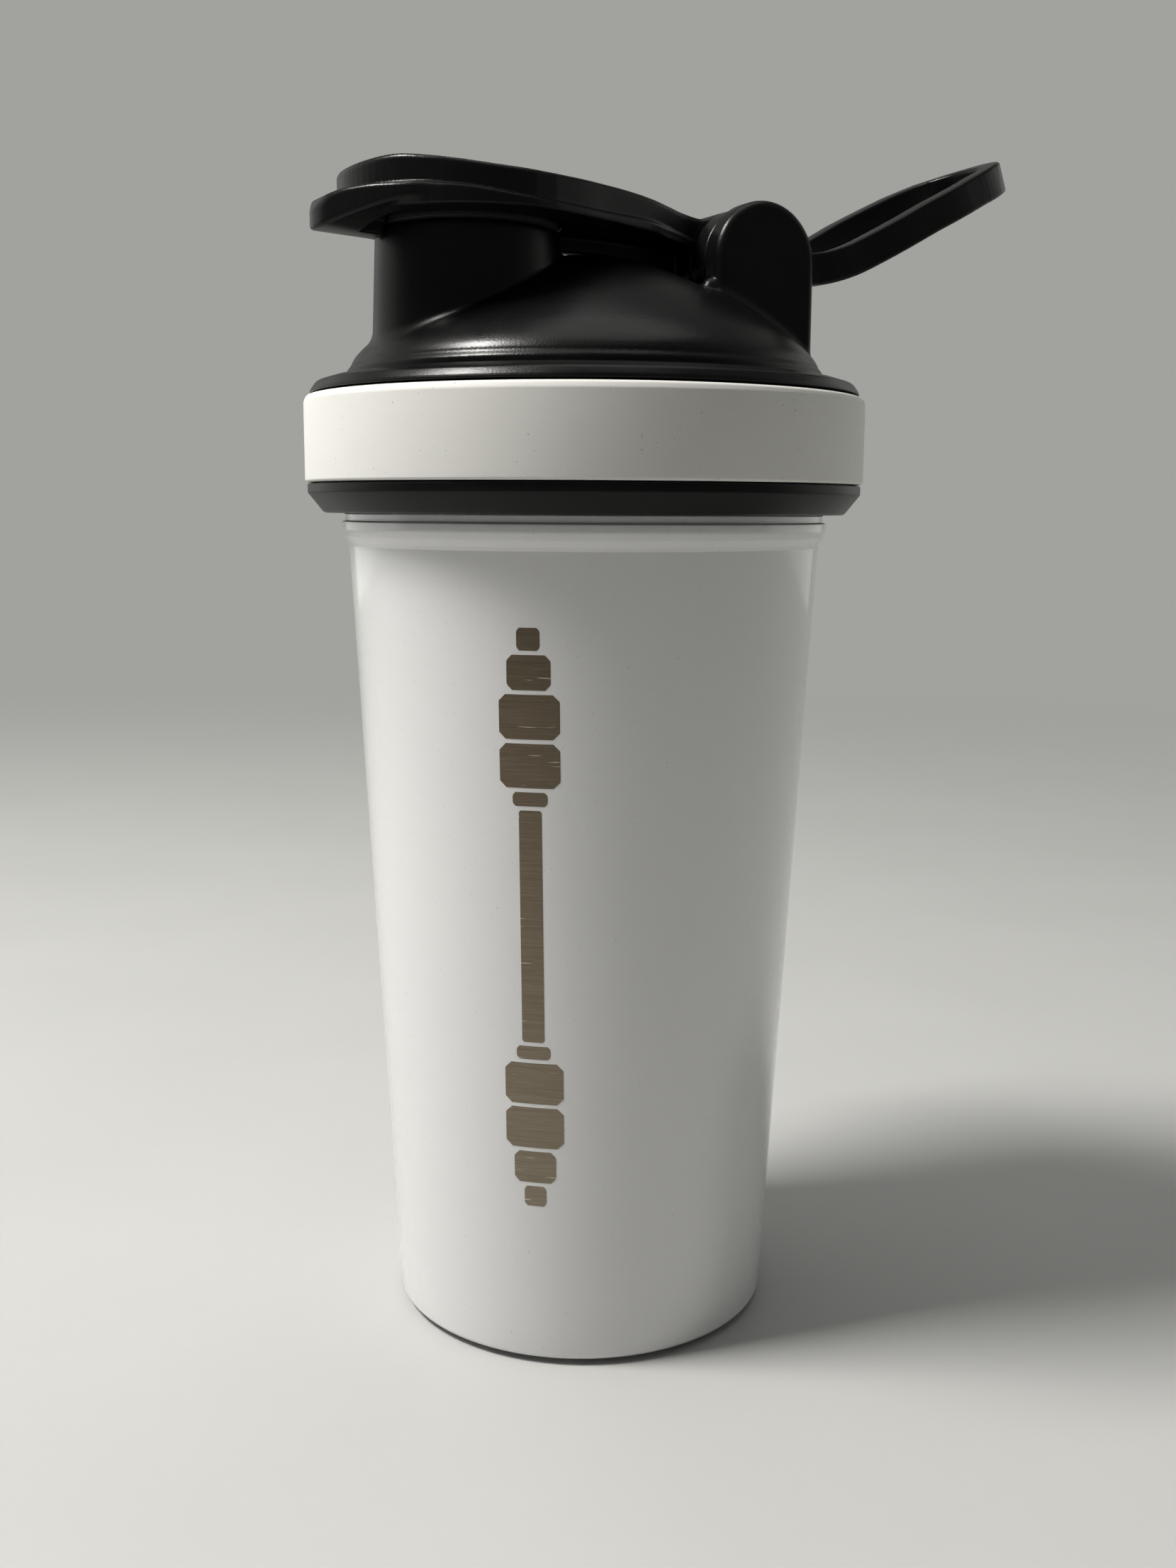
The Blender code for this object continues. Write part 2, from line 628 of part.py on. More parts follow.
def make_cap_tab():
    """The thumb tab: a beak that slopes down past the lip, round in front and keeled below."""
    nose = 0.8 * MM
    side = [(-37.0 * MM, 196.1 * MM), (-43.8 * MM, 197.2 * MM), (TAB_TIP_X + nose, 194.1 * MM),
            (TAB_TIP_X, 193.2 * MM), (TAB_TIP_X, TAB_BOTTOM + nose / 2), (TAB_TIP_X + nose / 2, TAB_BOTTOM),
            (-43.0 * MM, TAB_BOTTOM), (-40.6 * MM, CAP_UNDERSIDE + 0.8 * MM), (-37.0 * MM, CAP_UNDERSIDE + 0.8 * MM)]
    tab = side_slab("cap_tab", side, -PAST_SIDE, PAST_SIDE)
    far_side = [(-45.6 * MM, 8.6 * MM), (-42.4 * MM, 13.2 * MM), (-37.0 * MM, 16.6 * MM)]
    near_side = [(x, -y) for x, y in far_side]
    nose_arc = arc(TAB_TIP_X + TAB_NOSE_RADIUS, 0, TAB_NOSE_RADIUS, 128, 232, 8)
    outline = far_side[::-1] + nose_arc + near_side
    plan = plan_slab("tab_plan", outline, CAP_PLAN_BOTTOM, CAP_PLAN_TOP)
    boolean(tab, as_cutter(plan), "INTERSECT")
    flank_y, flank_z = 20.0 * MM, TAB_BOTTOM + 20.0 * MM * TAB_KEEL_SLOPE
    keel = [(-flank_y, CAP_PLAN_TOP), (-flank_y, flank_z), (-1.2 * MM, TAB_BOTTOM - 0.1 * MM),
            (1.2 * MM, TAB_BOTTOM - 0.1 * MM), (flank_y, flank_z), (flank_y, CAP_PLAN_TOP)]
    return boolean(tab, as_cutter(front_slab("tab_keel", keel, -60.0 * MM, -30.0 * MM)), "INTERSECT")


def make_cap_web():
    """The web that stiffens the cap between its plug and its knuckle, just clear of the dome."""
    side = [(18.5 * MM, 195.0 * MM), (-4.4 * MM, 195.0 * MM), (-4.4 * MM, 190.7 * MM), (-4.0 * MM, 190.3 * MM),
            (3.0 * MM, 190.3 * MM), (10.0 * MM, 189.2 * MM), (18.5 * MM, 186.4 * MM)]
    return side_slab("cap_web", side, -CAP_WEB_THICKNESS / 2, CAP_WEB_THICKNESS / 2)


def make_flip_cap():
    """Round head with a crowned top, a thin lip round its foot, a drooping thumb tab and a knuckle."""
    front = SPOUT_X - CAP_HEAD_RADIUS
    rear = PIVOT_X - 1 * MM
    bottom = CAP_UNDERSIDE + 0.5 * MM
    side = [(rear, 196.0 * MM), (18.0 * MM, 196.3 * MM), (6.0 * MM, 197.4 * MM), (-4.0 * MM, 198.2 * MM),
            (-16.0 * MM, 198.6 * MM), (-28.0 * MM, 199.0 * MM), (-38.0 * MM, 200.0 * MM),
            (front + 0.6 * MM, 199.4 * MM), (front - 1.0 * MM, 198.2 * MM),
            (front - 1.0 * MM, bottom), (0.0, bottom), (18.0 * MM, 192.0 * MM), (rear, 192.0 * MM)]
    cap = side_slab("flip_cap", side, -PAST_SIDE, PAST_SIDE)
    plan = plan_slab("cap_plan", cap_outline(CAP_HEAD_RADIUS), CAP_PLAN_BOTTOM, CAP_PLAN_TOP)
    boolean(cap, as_cutter(plan), "INTERSECT")
    boolean(cap, as_cutter(make_cap_lip()), "UNION")
    boolean(cap, as_cutter(make_cap_tab()), "UNION")
    boolean(cap, as_cutter(make_cap_web()), "UNION")

    knuckle_length = 2 * CAP_KNUCKLE_HALF
    knuckle = hinge_cylinder("cap_knuckle", EYE_RADIUS, knuckle_length, segments=32)
    boolean(cap, as_cutter(knuckle), "UNION")
    pocket_depth = 12.0 * MM
    pocket_centre = (SPOUT_X, 0, SEAL_POCKET_TOP - pocket_depth / 2)
    pocket = cylinder("seal_pocket", SEAL_POCKET_RADIUS, pocket_depth, pocket_centre)
    boolean(cap, as_cutter(pocket), "DIFFERENCE")
    hole = hinge_cylinder("cap_hole", PIN_HOLE, knuckle_length + 4 * MM)
    boolean(cap, as_cutter(hole), "DIFFERENCE")
    return cap


def make_spout_seal():
    """The cap's silicone plug: a flange in the cap's pocket and a hollow stopper in the spout."""
    flange_top = SEAL_POCKET_TOP - GAP
    flange_bottom = SPOUT_TOP + GAP
    flange = SEAL_POCKET_RADIUS - 0.4 * MM
    stopper_bottom = 185.6 * MM
    profile = [
        (0.0, flange_top),
        (flange - 0.4 * MM, flange_top),
        (flange, flange_top - 0.5 * MM),
        (flange, flange_bottom + 0.4 * MM),
        (flange - 0.4 * MM, flange_bottom),
        (12.6 * MM, flange_bottom),
        (12.5 * MM, 187.0 * MM),
        (11.8 * MM, stopper_bottom),
        (9.8 * MM, stopper_bottom),
        (9.4 * MM, 192.4 * MM),
        (0.0, 192.8 * MM),
    ]
    seal = turned("spout_seal", profile, closed=False)
    seal.location = (SPOUT_X, 0, 0)
    return seal


def loop_centreline():
    """The loop's side view: level at the eyes, bending up, then straight to the tip."""
    level = PIVOT_Z - 0.2 * MM
    points = [(PIVOT_X, PIVOT_Z), (LOOP_BEND_START, level)]
    pieces = 6
    for i in range(1, pieces + 1):
        angle = LOOP_SLOPE * i / pieces
        rise = LOOP_BEND_RADIUS * (1 - cos(angle))
        points.append((LOOP_BEND_START + LOOP_BEND_RADIUS * sin(angle), level + rise))
    last_x, last_z = points[-1]
    reach = LOOP_TIP_X + 4 * MM - last_x
    points.append((last_x + reach, last_z + reach * tan(LOOP_SLOPE)))
    return points


def offset_line(points, distance):
    moved = []
    for i, (x, z) in enumerate(points):
        before = points[max(i - 1, 0)]
        after = points[min(i + 1, len(points) - 1)]
        angle = atan2(after[1] - before[1], after[0] - before[0])
        moved.append((x - distance * sin(angle), z + distance * cos(angle)))
    return moved


def loop_plan(name, inset, bottom, top):
    """The loop from above at an inset from its outline: narrow eyes, wide middle and a round tip."""
    tip_radius = LOOP_TIP_RADIUS - inset
    widths = [(PIVOT_X - 12 * MM, LOOP_ROOT_HALF), (40.0 * MM, LOOP_ROOT_HALF),
              (48.0 * MM, LOOP_ROOT_HALF + 1.2 * MM), (57.0 * MM, LOOP_MID_HALF - 0.5 * MM),
              (66.0 * MM, LOOP_MID_HALF), (74.0 * MM, LOOP_MID_HALF - 0.3 * MM)]
    half = [(x, y - inset) for x, y in widths]
    half += arc(LOOP_TIP_X - LOOP_TIP_RADIUS, 0, tip_radius, 78, 0, 9)
    outline = half + [(x, -y) for x, y in half[-2::-1]]
    return plan_slab(name, outline, bottom, top)


def make_carry_loop():
    line = loop_centreline()
    upper = offset_line(line, LOOP_THICKNESS / 2)
    lower = offset_line(line, -LOOP_THICKNESS / 2)
    loop = side_slab("carry_loop", upper + lower[::-1], -PAST_SIDE, PAST_SIDE)
    outer = loop_plan("loop_outer", 0.0, 170 * MM, 230 * MM)
    inner = loop_plan("loop_inner", LOOP_ARM_WIDTH, 165 * MM, 235 * MM)
    boolean(loop, as_cutter(outer), "INTERSECT")
    for side, side_name in ((-1, "left"), (1, "right")):
        middle = side * (LOOP_ROOT_HALF - LOOP_ARM_WIDTH / 2)
        eye = cylinder("loop_eye_" + side_name, EYE_RADIUS, LOOP_ARM_WIDTH, (PIVOT_X, middle, PIVOT_Z), "Y",
                       segments=32)
        boolean(loop, as_cutter(eye), "UNION")
    boolean(loop, as_cutter(inner), "DIFFERENCE")
    hole = hinge_cylinder("loop_hole", PIN_HOLE, 2 * PAST_SIDE)
    boolean(loop, as_cutter(hole), "DIFFERENCE")
    return loop


# ---------------------------------------------------------------- mixer
def make_whisk_ball():
    """A ball wound from one wire: a spiral over a sphere, from pole to pole."""
    curve = bpy.data.curves.new("whisk_ball", "CURVE")
    curve.dimensions = "3D"
    curve.bevel_depth = WIRE_RADIUS
    curve.bevel_resolution = 2
    curve.use_fill_caps = True
    winding = BALL_RADIUS - WIRE_RADIUS
    count = BALL_TURNS * BALL_POINTS_PER_TURN
    spline = curve.splines.new("POLY")
    spline.points.add(count)
    pole = radians(12)
    for i, point in enumerate(spline.points):
        part = i / count
        latitude = pole + (pi - 2 * pole) * part
        turn = 2 * pi * BALL_TURNS * part
        ring = winding * sin(latitude)
        point.co = (ring * cos(turn), ring * sin(turn), -winding * cos(latitude), 1.0)
    obj = bpy.data.objects.new("whisk_ball", curve)
    obj.location = (0, 0, LINER_FLOOR + GAP + BALL_RADIUS)
    return obj


# ---------------------------------------------------------------- assembly
clear_scene()
parts = new_collection("Protein shaker bottle")
cutters = new_collection("Cutters")
smoothing = smoothing_group(SMOOTH_ANGLE)

white_coat = new_material("white_coat", (0.86, 0.86, 0.87), 0.22)
bare_steel = new_material("bare_steel", (0.62, 0.61, 0.59), 0.28, 1.0)
solder_glass = new_material("solder_glass", (0.10, 0.22, 0.18), 0.10)
getter_metal = new_material("getter_metal", (0.25, 0.25, 0.26), 0.60, 1.0)
black_plastic = new_material("black_plastic", (0.018, 0.018, 0.019), 0.38)
cap_plastic = new_material("cap_plastic", (0.018, 0.018, 0.019), 0.38)
loop_plastic = new_material("loop_plastic", (0.020, 0.020, 0.021), 0.38)
white_silicone = new_material("white_silicone", (0.82, 0.81, 0.79), 0.60)
clear_silicone = new_material("clear_silicone", (0.55, 0.56, 0.57), 0.55)
black_silicone = new_material("black_silicone", (0.025, 0.025, 0.026), 0.60)
pin_steel = new_material("pin_steel", (0.60, 0.60, 0.60), 0.20, 1.0)
wire_steel = new_material("wire_steel", (0.66, 0.65, 0.63), 0.15, 1.0)

cup_base = new_axis("cup_base", (0, 0, 0))
lid_axis = new_axis("lid_axis", (0, 0, SKIRT_BOTTOM), cup_base)
cap_hinge = new_axis("cap_hinge", (PIVOT_X, 0, PIVOT_Z), lid_axis)
loop_hinge = new_axis("loop_hinge", (PIVOT_X, 0, PIVOT_Z), lid_axis)
whisk_centre = new_axis("whisk_centre", (0, 0, LINER_FLOOR + GAP + BALL_RADIUS), cup_base)

add_piece(make_outer_shell(), white_coat, cup_base, smoothing)
add_piece(make_inner_shell(), bare_steel, cup_base, smoothing)
add_piece(make_base_shell(), bare_steel, cup_base, smoothing)
add_piece(make_base_disc(), bare_steel, cup_base, smoothing)
add_piece(make_vacuum_plug(), solder_glass, cup_base, smoothing)
add_piece(make_getter(), getter_metal, cup_base, smoothing)
add_piece(make_lid_shell(), black_plastic, lid_axis, smoothing)
add_piece(make_grip_band(), white_silicone, lid_axis, smoothing)
add_piece(make_lid_seal(), clear_silicone, lid_axis, smoothing)
add_piece(make_hinge_pin(), pin_steel, lid_axis, smoothing)
add_piece(make_flip_cap(), cap_plastic, cap_hinge, smoothing)
add_piece(make_spout_seal(), black_silicone, cap_hinge, smoothing)
add_piece(make_carry_loop(), loop_plastic, loop_hinge, smoothing)
add_piece(make_whisk_ball(), wire_steel, whisk_centre, smoothing)
parent_cutters()
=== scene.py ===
"""Looks for the protein shaker bottle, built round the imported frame.

Lengths are in millimetres while a piece is being shaped, and become metres when its mesh is made.
The moulded pieces (dome, cap, loop) are distance fields turned into meshes, so that their walls meet
in real fillets; the round pieces are turned from profiles with filleted corners.
"""
from itertools import product
from math import atan2, ceil, cos, degrees, pi, radians, sin, tan

import bmesh
import bpy
import numpy as np
from mathutils import Matrix, Vector


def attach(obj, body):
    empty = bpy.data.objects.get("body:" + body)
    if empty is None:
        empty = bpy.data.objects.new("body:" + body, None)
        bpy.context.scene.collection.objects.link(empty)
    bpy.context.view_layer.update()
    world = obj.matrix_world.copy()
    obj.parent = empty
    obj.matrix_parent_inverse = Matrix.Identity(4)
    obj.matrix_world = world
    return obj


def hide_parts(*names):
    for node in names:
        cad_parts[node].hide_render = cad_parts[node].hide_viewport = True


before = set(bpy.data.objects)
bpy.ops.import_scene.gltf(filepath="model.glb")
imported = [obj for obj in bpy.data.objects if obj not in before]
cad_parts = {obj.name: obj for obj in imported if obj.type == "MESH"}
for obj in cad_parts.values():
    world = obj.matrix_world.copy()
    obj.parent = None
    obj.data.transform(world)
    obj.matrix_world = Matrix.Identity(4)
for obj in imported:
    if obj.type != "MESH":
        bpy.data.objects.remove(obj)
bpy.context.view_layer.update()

MM = 0.001
TURN_STEPS = 192            # sides of a turned piece

# ---------------------------------------------------------------- sizes, in millimetres
WALL_BASE = 34.1            # radius of the tapered wall, extended down to the floor
WALL_SLOPE = 0.0539         # growth of that radius with height
BEAD_FOOT = 139.8           # where the taper ends and the bead under the lid begins
WALL_THICKNESS = 0.8
PIVOT_X = 27.2              # the hinge pin of cap and loop
PIVOT_Z = 188.9
PIN_HOLE = 2.3
EYE_RADIUS = 9.5            # outside of the cap's knuckle and the loop's eyes
EAR_RADIUS = 10.15
EAR_INNER = 11.4
EAR_OUTER = 16.0
SPOUT_X = -22.3
SPOUT_TOP = 191.5
SPOUT_BORE = 13.0
STRAP_HALF_THICKNESS = 2.85
STRAP_WIDTH = 4.0
LOOP_TIP = 88.75            # the loop's far end, along x
LOOP_TIP_RADIUS = 15.0
WIRE_RADIUS = 1.1
BALL_RADIUS = 21.9          # to the middle of the wire
BALL_CENTRE = 33.6          # height at rest
THREAD_LEAD = 9.0
THREAD_SWEEP = 200.0        # degrees that each rib runs round


# ---------------------------------------------------------------- node materials
def add(tree, kind, inputs=None, **settings):
    """A shader node with its settings and inputs; an input may be a value or another node's socket."""
    node = tree.nodes.new(kind)
    for key, value in settings.items():
        setattr(node, key, value)
    for key, value in (inputs or {}).items():
        if isinstance(value, bpy.types.NodeSocket):
            tree.links.new(value, node.inputs[key])
        else:
            node.inputs[key].default_value = value
    return node


def new_material(name, **sockets):
    """A Principled material; sockets are the values that are the same all over."""
    material = bpy.data.materials.new(name)
    material.use_nodes = True
    tree = material.node_tree
    shader = tree.nodes["Principled BSDF"]
    for key, value in sockets.items():
        shader.inputs[key.replace("_", " ")].default_value = value
    place = add(tree, "ShaderNodeTexCoord").outputs["Object"]
    return material, tree, shader, place


def noise(tree, place, scale, detail=2.0, roughness=0.5, distortion=0.0, stretch=(1, 1, 1)):
    """Noise with so many features to the metre, stretched along some axes."""
    mapped = add(tree, "ShaderNodeMapping", {"Vector": place, "Scale": stretch}).outputs["Vector"]
    made = add(tree, "ShaderNodeTexNoise", {"Vector": mapped, "Scale": scale, "Detail": detail,
                                            "Roughness": roughness, "Distortion": distortion})
    return made.outputs["Fac"]


def spread(tree, value, low, high, start=0.0, end=1.0):
    """Maps a value from one range to another, clamped."""
    return add(tree, "ShaderNodeMapRange", {"Value": value, "From Min": start, "From Max": end,
                                            "To Min": low, "To Max": high}).outputs["Result"]


def blend(tree, share, first, second):
    """A colour between two, by a share from 0 to 1."""
    mix = add(tree, "ShaderNodeMix", data_type="RGBA")
    for name, value in (("Factor", share), ("A", first), ("B", second)):
        socket = [s for s in mix.inputs if s.name == name and s.enabled][0]
        if isinstance(value, bpy.types.NodeSocket):
            tree.links.new(value, socket)
        else:
            socket.default_value = value
    return [s for s in mix.outputs if s.enabled][0]


def maths(tree, operation, *values):
    node = add(tree, "ShaderNodeMath", operation=operation)
    for i, value in enumerate(values):
        if isinstance(value, bpy.types.NodeSocket):
            tree.links.new(value, node.inputs[i])
        else:
            node.inputs[i].default_value = value
    return node.outputs["Value"]


def bump(tree, shader, height, depth, strength=1.0, before=None):
    """Bump of a real depth in millimetres, on top of an earlier bump."""
    node = add(tree, "ShaderNodeBump", {"Height": height, "Distance": depth * MM, "Strength": strength})
    if before:
        tree.links.new(before, node.inputs["Normal"])
    tree.links.new(node.outputs["Normal"], shader.inputs["Normal"])
    return node.outputs["Normal"]


def moulded_plastic(name, colour=(0.0052, 0.0052, 0.0053, 1)):
    """Black polypropylene with the fine leathery grain of a textured mould."""
    material, tree, shader, place = new_material(name, IOR=1.46, Specular_IOR_Level=0.36)
    cells = add(tree, "ShaderNodeTexVoronoi", {"Vector": place, "Scale": 3400.0, "Randomness": 1.0},
                feature="SMOOTH_F1").outputs["Distance"]
    creases = noise(tree, place, 2800.0, detail=2.0, roughness=0.6, distortion=0.6)
    grain = maths(tree, "ADD", maths(tree, "MULTIPLY", cells, 0.6), creases)
    worn = noise(tree, place, 60.0, detail=4.0, roughness=0.6)
    fine = noise(tree, place, 5200.0, detail=1.0)
    flow = bump(tree, shader, noise(tree, place, 160.0, detail=1.0), 0.006)
    coarse = bump(tree, shader, grain, 0.016, before=flow)
    bump(tree, shader, fine, 0.003, before=coarse)
    lighter = tuple(min(1.0, c * 1.7) for c in colour[:3]) + (1,)
    tree.links.new(blend(tree, spread(tree, worn, 0.0, 1.0, 0.35, 0.75), colour, lighter),
                   shader.inputs["Base Color"])
    tree.links.new(spread(tree, worn, 0.27, 0.36, 0.3, 0.7), shader.inputs["Roughness"])
    return material


def white_coat(name):
    """Gloss white powder coat over steel: faint orange peel and a slight unevenness of tone."""
    material, tree, shader, place = new_material(name, IOR=1.5, Coat_Weight=0.8, Coat_Roughness=0.045)
    shade = noise(tree, place, 35.0, detail=3.0)
    specks = spread(tree, noise(tree, place, 2600.0, detail=1.0), 0.0, 1.0, 0.74, 0.80)
    white = blend(tree, shade, (0.785, 0.785, 0.790, 1), (0.815, 0.812, 0.806, 1))
    tree.links.new(blend(tree, specks, white, (0.60, 0.59, 0.57, 1)), shader.inputs["Base Color"])
    tree.links.new(spread(tree, shade, 0.17, 0.24), shader.inputs["Roughness"])
    peel = bump(tree, shader, noise(tree, place, 420.0, detail=2.0), 0.006)
    bump(tree, shader, noise(tree, place, 1500.0, detail=1.0), 0.0012, before=peel)
    return material


def silicone(name, colour, other, rough, grain=0.010, through=0.0):
    """Matte silicone rubber with a fine bead-blasted surface and specks of dust."""
    material, tree, shader, place = new_material(name, IOR=1.43, Sheen_Weight=0.12, Sheen_Roughness=0.5,
                                                 Transmission_Weight=through)
    shade = noise(tree, place, 28.0, detail=4.0, roughness=0.6)
    dust = spread(tree, noise(tree, place, 1900.0, detail=0.0), 0.0, 0.7, 0.835, 0.86)
    base = blend(tree, shade, colour, other)
    darker = tuple(c * 0.55 for c in other[:3]) + (1,)
    tree.links.new(blend(tree, dust, base, darker), shader.inputs["Base Color"])
    tree.links.new(spread(tree, shade, rough - 0.04, rough + 0.06), shader.inputs["Roughness"])
    flow = bump(tree, shader, noise(tree, place, 55.0, detail=1.0), 0.05)
    bump(tree, shader, noise(tree, place, 3800.0, detail=2.0), grain, before=flow)
    return material


def radius_of(tree, place):
    """Distance from the cup's axis, in metres."""
    flat = add(tree, "ShaderNodeVectorMath", {0: place, 1: (1, 1, 0)}, operation="MULTIPLY").outputs["Vector"]
    return add(tree, "ShaderNodeVectorMath", {0: flat}, operation="LENGTH").outputs["Value"]


def brushed_steel(name, colour, rough=0.27, lines="height", depth=0.0025):
    """Stainless steel brushed round its axis, so the lines vary with height or with radius only."""
    material, tree, shader, place = new_material(name, Metallic=1.0, IOR=2.5)
    if lines == "height":
        streaks = noise(tree, place, 1.0, detail=4.0, roughness=0.7, stretch=(70, 70, 5200))
        broad = noise(tree, place, 1.0, detail=2.0, stretch=(30, 30, 600))
    else:
        across = add(tree, "ShaderNodeCombineXYZ", {"X": radius_of(tree, place)}).outputs["Vector"]
        streaks = noise(tree, across, 1.0, detail=4.0, roughness=0.7, stretch=(5200, 1, 1))
        broad = noise(tree, across, 1.0, detail=2.0, stretch=(700, 1, 1))
    stain = noise(tree, place, 45.0, detail=3.0)
    dark = tuple(c * 0.72 for c in colour[:3]) + (1,)
    tone = maths(tree, "MULTIPLY", maths(tree, "ADD", streaks, broad), 0.5)
    tree.links.new(blend(tree, spread(tree, tone, 0.0, 1.0, 0.35, 0.62), dark, colour),
                   shader.inputs["Base Color"])
    rough_low = maths(tree, "ADD", spread(tree, streaks, -0.05, 0.08, 0.3, 0.7),
                      spread(tree, stain, rough - 0.03, rough + 0.05))
    tree.links.new(rough_low, shader.inputs["Roughness"])
    bump(tree, shader, streaks, depth)
    return material


def bare_mark(name):
    """Steel laid bare by the laser: warm grey, brushed across, with a few bright scratches, and painted shade
    that darkens it towards the top.
    """
    material, tree, shader, place = new_material(name, Metallic=0.82, IOR=2.0)
    streaks = noise(tree, place, 1.0, detail=5.0, roughness=0.75, stretch=(90, 90, 4200))
    height = add(tree, "ShaderNodeSeparateXYZ", {"Vector": place}).outputs["Z"]
    # painted shade: the mark's colour goes from a lighter tone at the bottom to a darker one at the top
    painted_shade_by_height = spread(tree, height, 1.0, 0.0, 0.030, 0.128)
    low = blend(tree, painted_shade_by_height, (0.165, 0.130, 0.088, 1), (0.255, 0.215, 0.160, 1))
    high = blend(tree, painted_shade_by_height, (0.240, 0.195, 0.140, 1), (0.350, 0.305, 0.240, 1))
    steel = blend(tree, spread(tree, streaks, 0.0, 1.0, 0.36, 0.64), low, high)
    scratch = noise(tree, place, 1.0, detail=1.0, stretch=(170, 170, 2300))
    marked = spread(tree, scratch, 0.0, 0.85, 0.715, 0.755)
    tree.links.new(blend(tree, marked, steel, (0.62, 0.58, 0.50, 1)), shader.inputs["Base Color"])
    tree.links.new(spread(tree, streaks, 0.34, 0.46, 0.3, 0.7), shader.inputs["Roughness"])
    bump(tree, shader, streaks, 0.004)
    return material


def drawn_wire(name):
    """Polished stainless wire with faint die lines."""
    material, tree, shader, place = new_material(name, Metallic=1.0, IOR=2.5)
    lines = noise(tree, place, 900.0, detail=3.0, roughness=0.65, distortion=0.6)
    tree.links.new(blend(tree, lines, (0.52, 0.51, 0.50, 1), (0.72, 0.71, 0.69, 1)),
                   shader.inputs["Base Color"])
    tree.links.new(spread(tree, lines, 0.10, 0.24), shader.inputs["Roughness"])
    bump(tree, shader, lines, 0.002)
    return material


def grainy(name, first, second, rough, metallic=0.0, scale=2500.0, depth=0.02, through=0.0):
    """A plain cast or sintered surface in two tones."""
    material, tree, shader, place = new_material(name, Metallic=metallic, IOR=1.5,
                                                 Transmission_Weight=through)
    cells = noise(tree, place, scale, detail=3.0, roughness=0.7)
    tree.links.new(blend(tree, cells, first, second), shader.inputs["Base Color"])
    tree.links.new(spread(tree, cells, rough - 0.08, rough + 0.08), shader.inputs["Roughness"])
    bump(tree, shader, cells, depth)
    return material


# ---------------------------------------------------------------- meshes
def make_piece(name, points, faces, material, body, node, slot, normals=None, crease=32.0):
    """A mesh from points in millimetres, riding on a body in the place of a CAD node."""
    mesh = bpy.data.meshes.new(name)
    mesh.from_pydata((np.asarray(points, float) * MM).tolist(), [], [list(f) for f in faces])
    mesh.validate()
    shape = bmesh.new()
    shape.from_mesh(mesh)
    if normals is None:
        bmesh.ops.remove_doubles(shape, verts=shape.verts, dist=0.0005 * MM)
        bmesh.ops.recalc_face_normals(shape, faces=shape.faces)
    shape.to_mesh(mesh)
    shape.free()
    mesh.shade_smooth()
    if normals is None:
        mesh.set_sharp_from_angle(angle=radians(crease))
    else:
        mesh.normals_split_custom_set_from_vertices(normals.tolist())
    piece = bpy.data.objects.new(name, mesh)
    bpy.context.scene.collection.objects.link(piece)
    mesh.materials.append(material)
    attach(piece, body)
    if node:
        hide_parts(node)
    return piece


def filleted(corners, closed=True):
    """An outline from (x, y) or (x, y, radius) corners, with the given corners rounded by arcs."""
    points = []
    count = len(corners)
    for i, corner in enumerate(corners):
        here = np.array(corner[:2], float)
        if len(corner) == 2 or (not closed and i in (0, count - 1)):
            points.append(tuple(here))
            continue
        before = np.array(corners[i - 1][:2], float) - here
        after = np.array(corners[(i + 1) % count][:2], float) - here
        room = 0.48 * min(np.linalg.norm(before), np.linalg.norm(after))
        before /= np.linalg.norm(before)
        after /= np.linalg.norm(after)
        half = np.arccos(np.clip(before @ after, -1, 1)) / 2
        if half > radians(89.5):
            points.append(tuple(here))
            continue
        reach = min(corner[2] / np.tan(half), room)
        radius = reach * np.tan(half)
        middle = (before + after) / np.linalg.norm(before + after)
        centre = here + middle * radius / np.sin(half)
        start = here + before * reach - centre
        end = here + after * reach - centre
        first = atan2(start[1], start[0])
        swing = (atan2(end[1], end[0]) - first + pi) % (2 * pi) - pi
        pieces = max(2, ceil(abs(degrees(swing)) / 11))
        for k in range(pieces + 1):
            angle = first + swing * k / pieces
            points.append((centre[0] + radius * cos(angle), centre[1] + radius * sin(angle)))
    return points


def smooth_line(points, per_span=6):
    """A Catmull-Rom curve through the points."""
    points = [np.array(p, float) for p in points]
    ends = [2 * points[0] - points[1]] + points + [2 * points[-1] - points[-2]]
    line = []
    for a, b, c, d in zip(ends, ends[1:], ends[2:], ends[3:]):
        for k in range(per_span):
            t = k / per_span
            line.append(0.5 * (2 * b + (c - a) * t + (2 * a - 5 * b + 4 * c - d) * t * t
                               + (3 * b - a - 3 * c + d) * t ** 3))
    line.append(points[-1])
    return [tuple(p) for p in line]


def circle_part(centre_x, centre_y, radius, start, end, count):
    return [(centre_x + radius * cos(radians(start + (end - start) * i / count)),
             centre_y + radius * sin(radians(start + (end - start) * i / count))) for i in range(count + 1)]


def turned(profile, steps=TURN_STEPS, axis="Z", centre=(0.0, 0.0, 0.0)):
    """Points and faces of a solid of revolution; the closed profile runs down its outer side first."""
    profile = np.array(profile, float)
    count = len(profile)
    turn = 2 * pi * np.arange(steps) / steps
    points = np.stack([np.outer(np.cos(turn), profile[:, 0]), np.outer(np.sin(turn), profile[:, 0]),
                       np.tile(profile[:, 1], (steps, 1))], -1).reshape(-1, 3)
    if axis == "Y":
        points = points[:, [0, 2, 1]] * np.array([1, 1, -1])
    i, j = np.meshgrid(np.arange(steps), np.arange(count), indexing="ij")
    nxt, down = (i + 1) % steps, (j + 1) % count
    faces = np.stack([i * count + j, i * count + down, nxt * count + down, nxt * count + j], -1)
    faces = faces.reshape(-1, 4)
    flat = (profile[faces[:, 0] % count, 0] < 1e-9) & (profile[faces[:, 1] % count, 0] < 1e-9)
    return points + np.array(centre), faces[~flat]


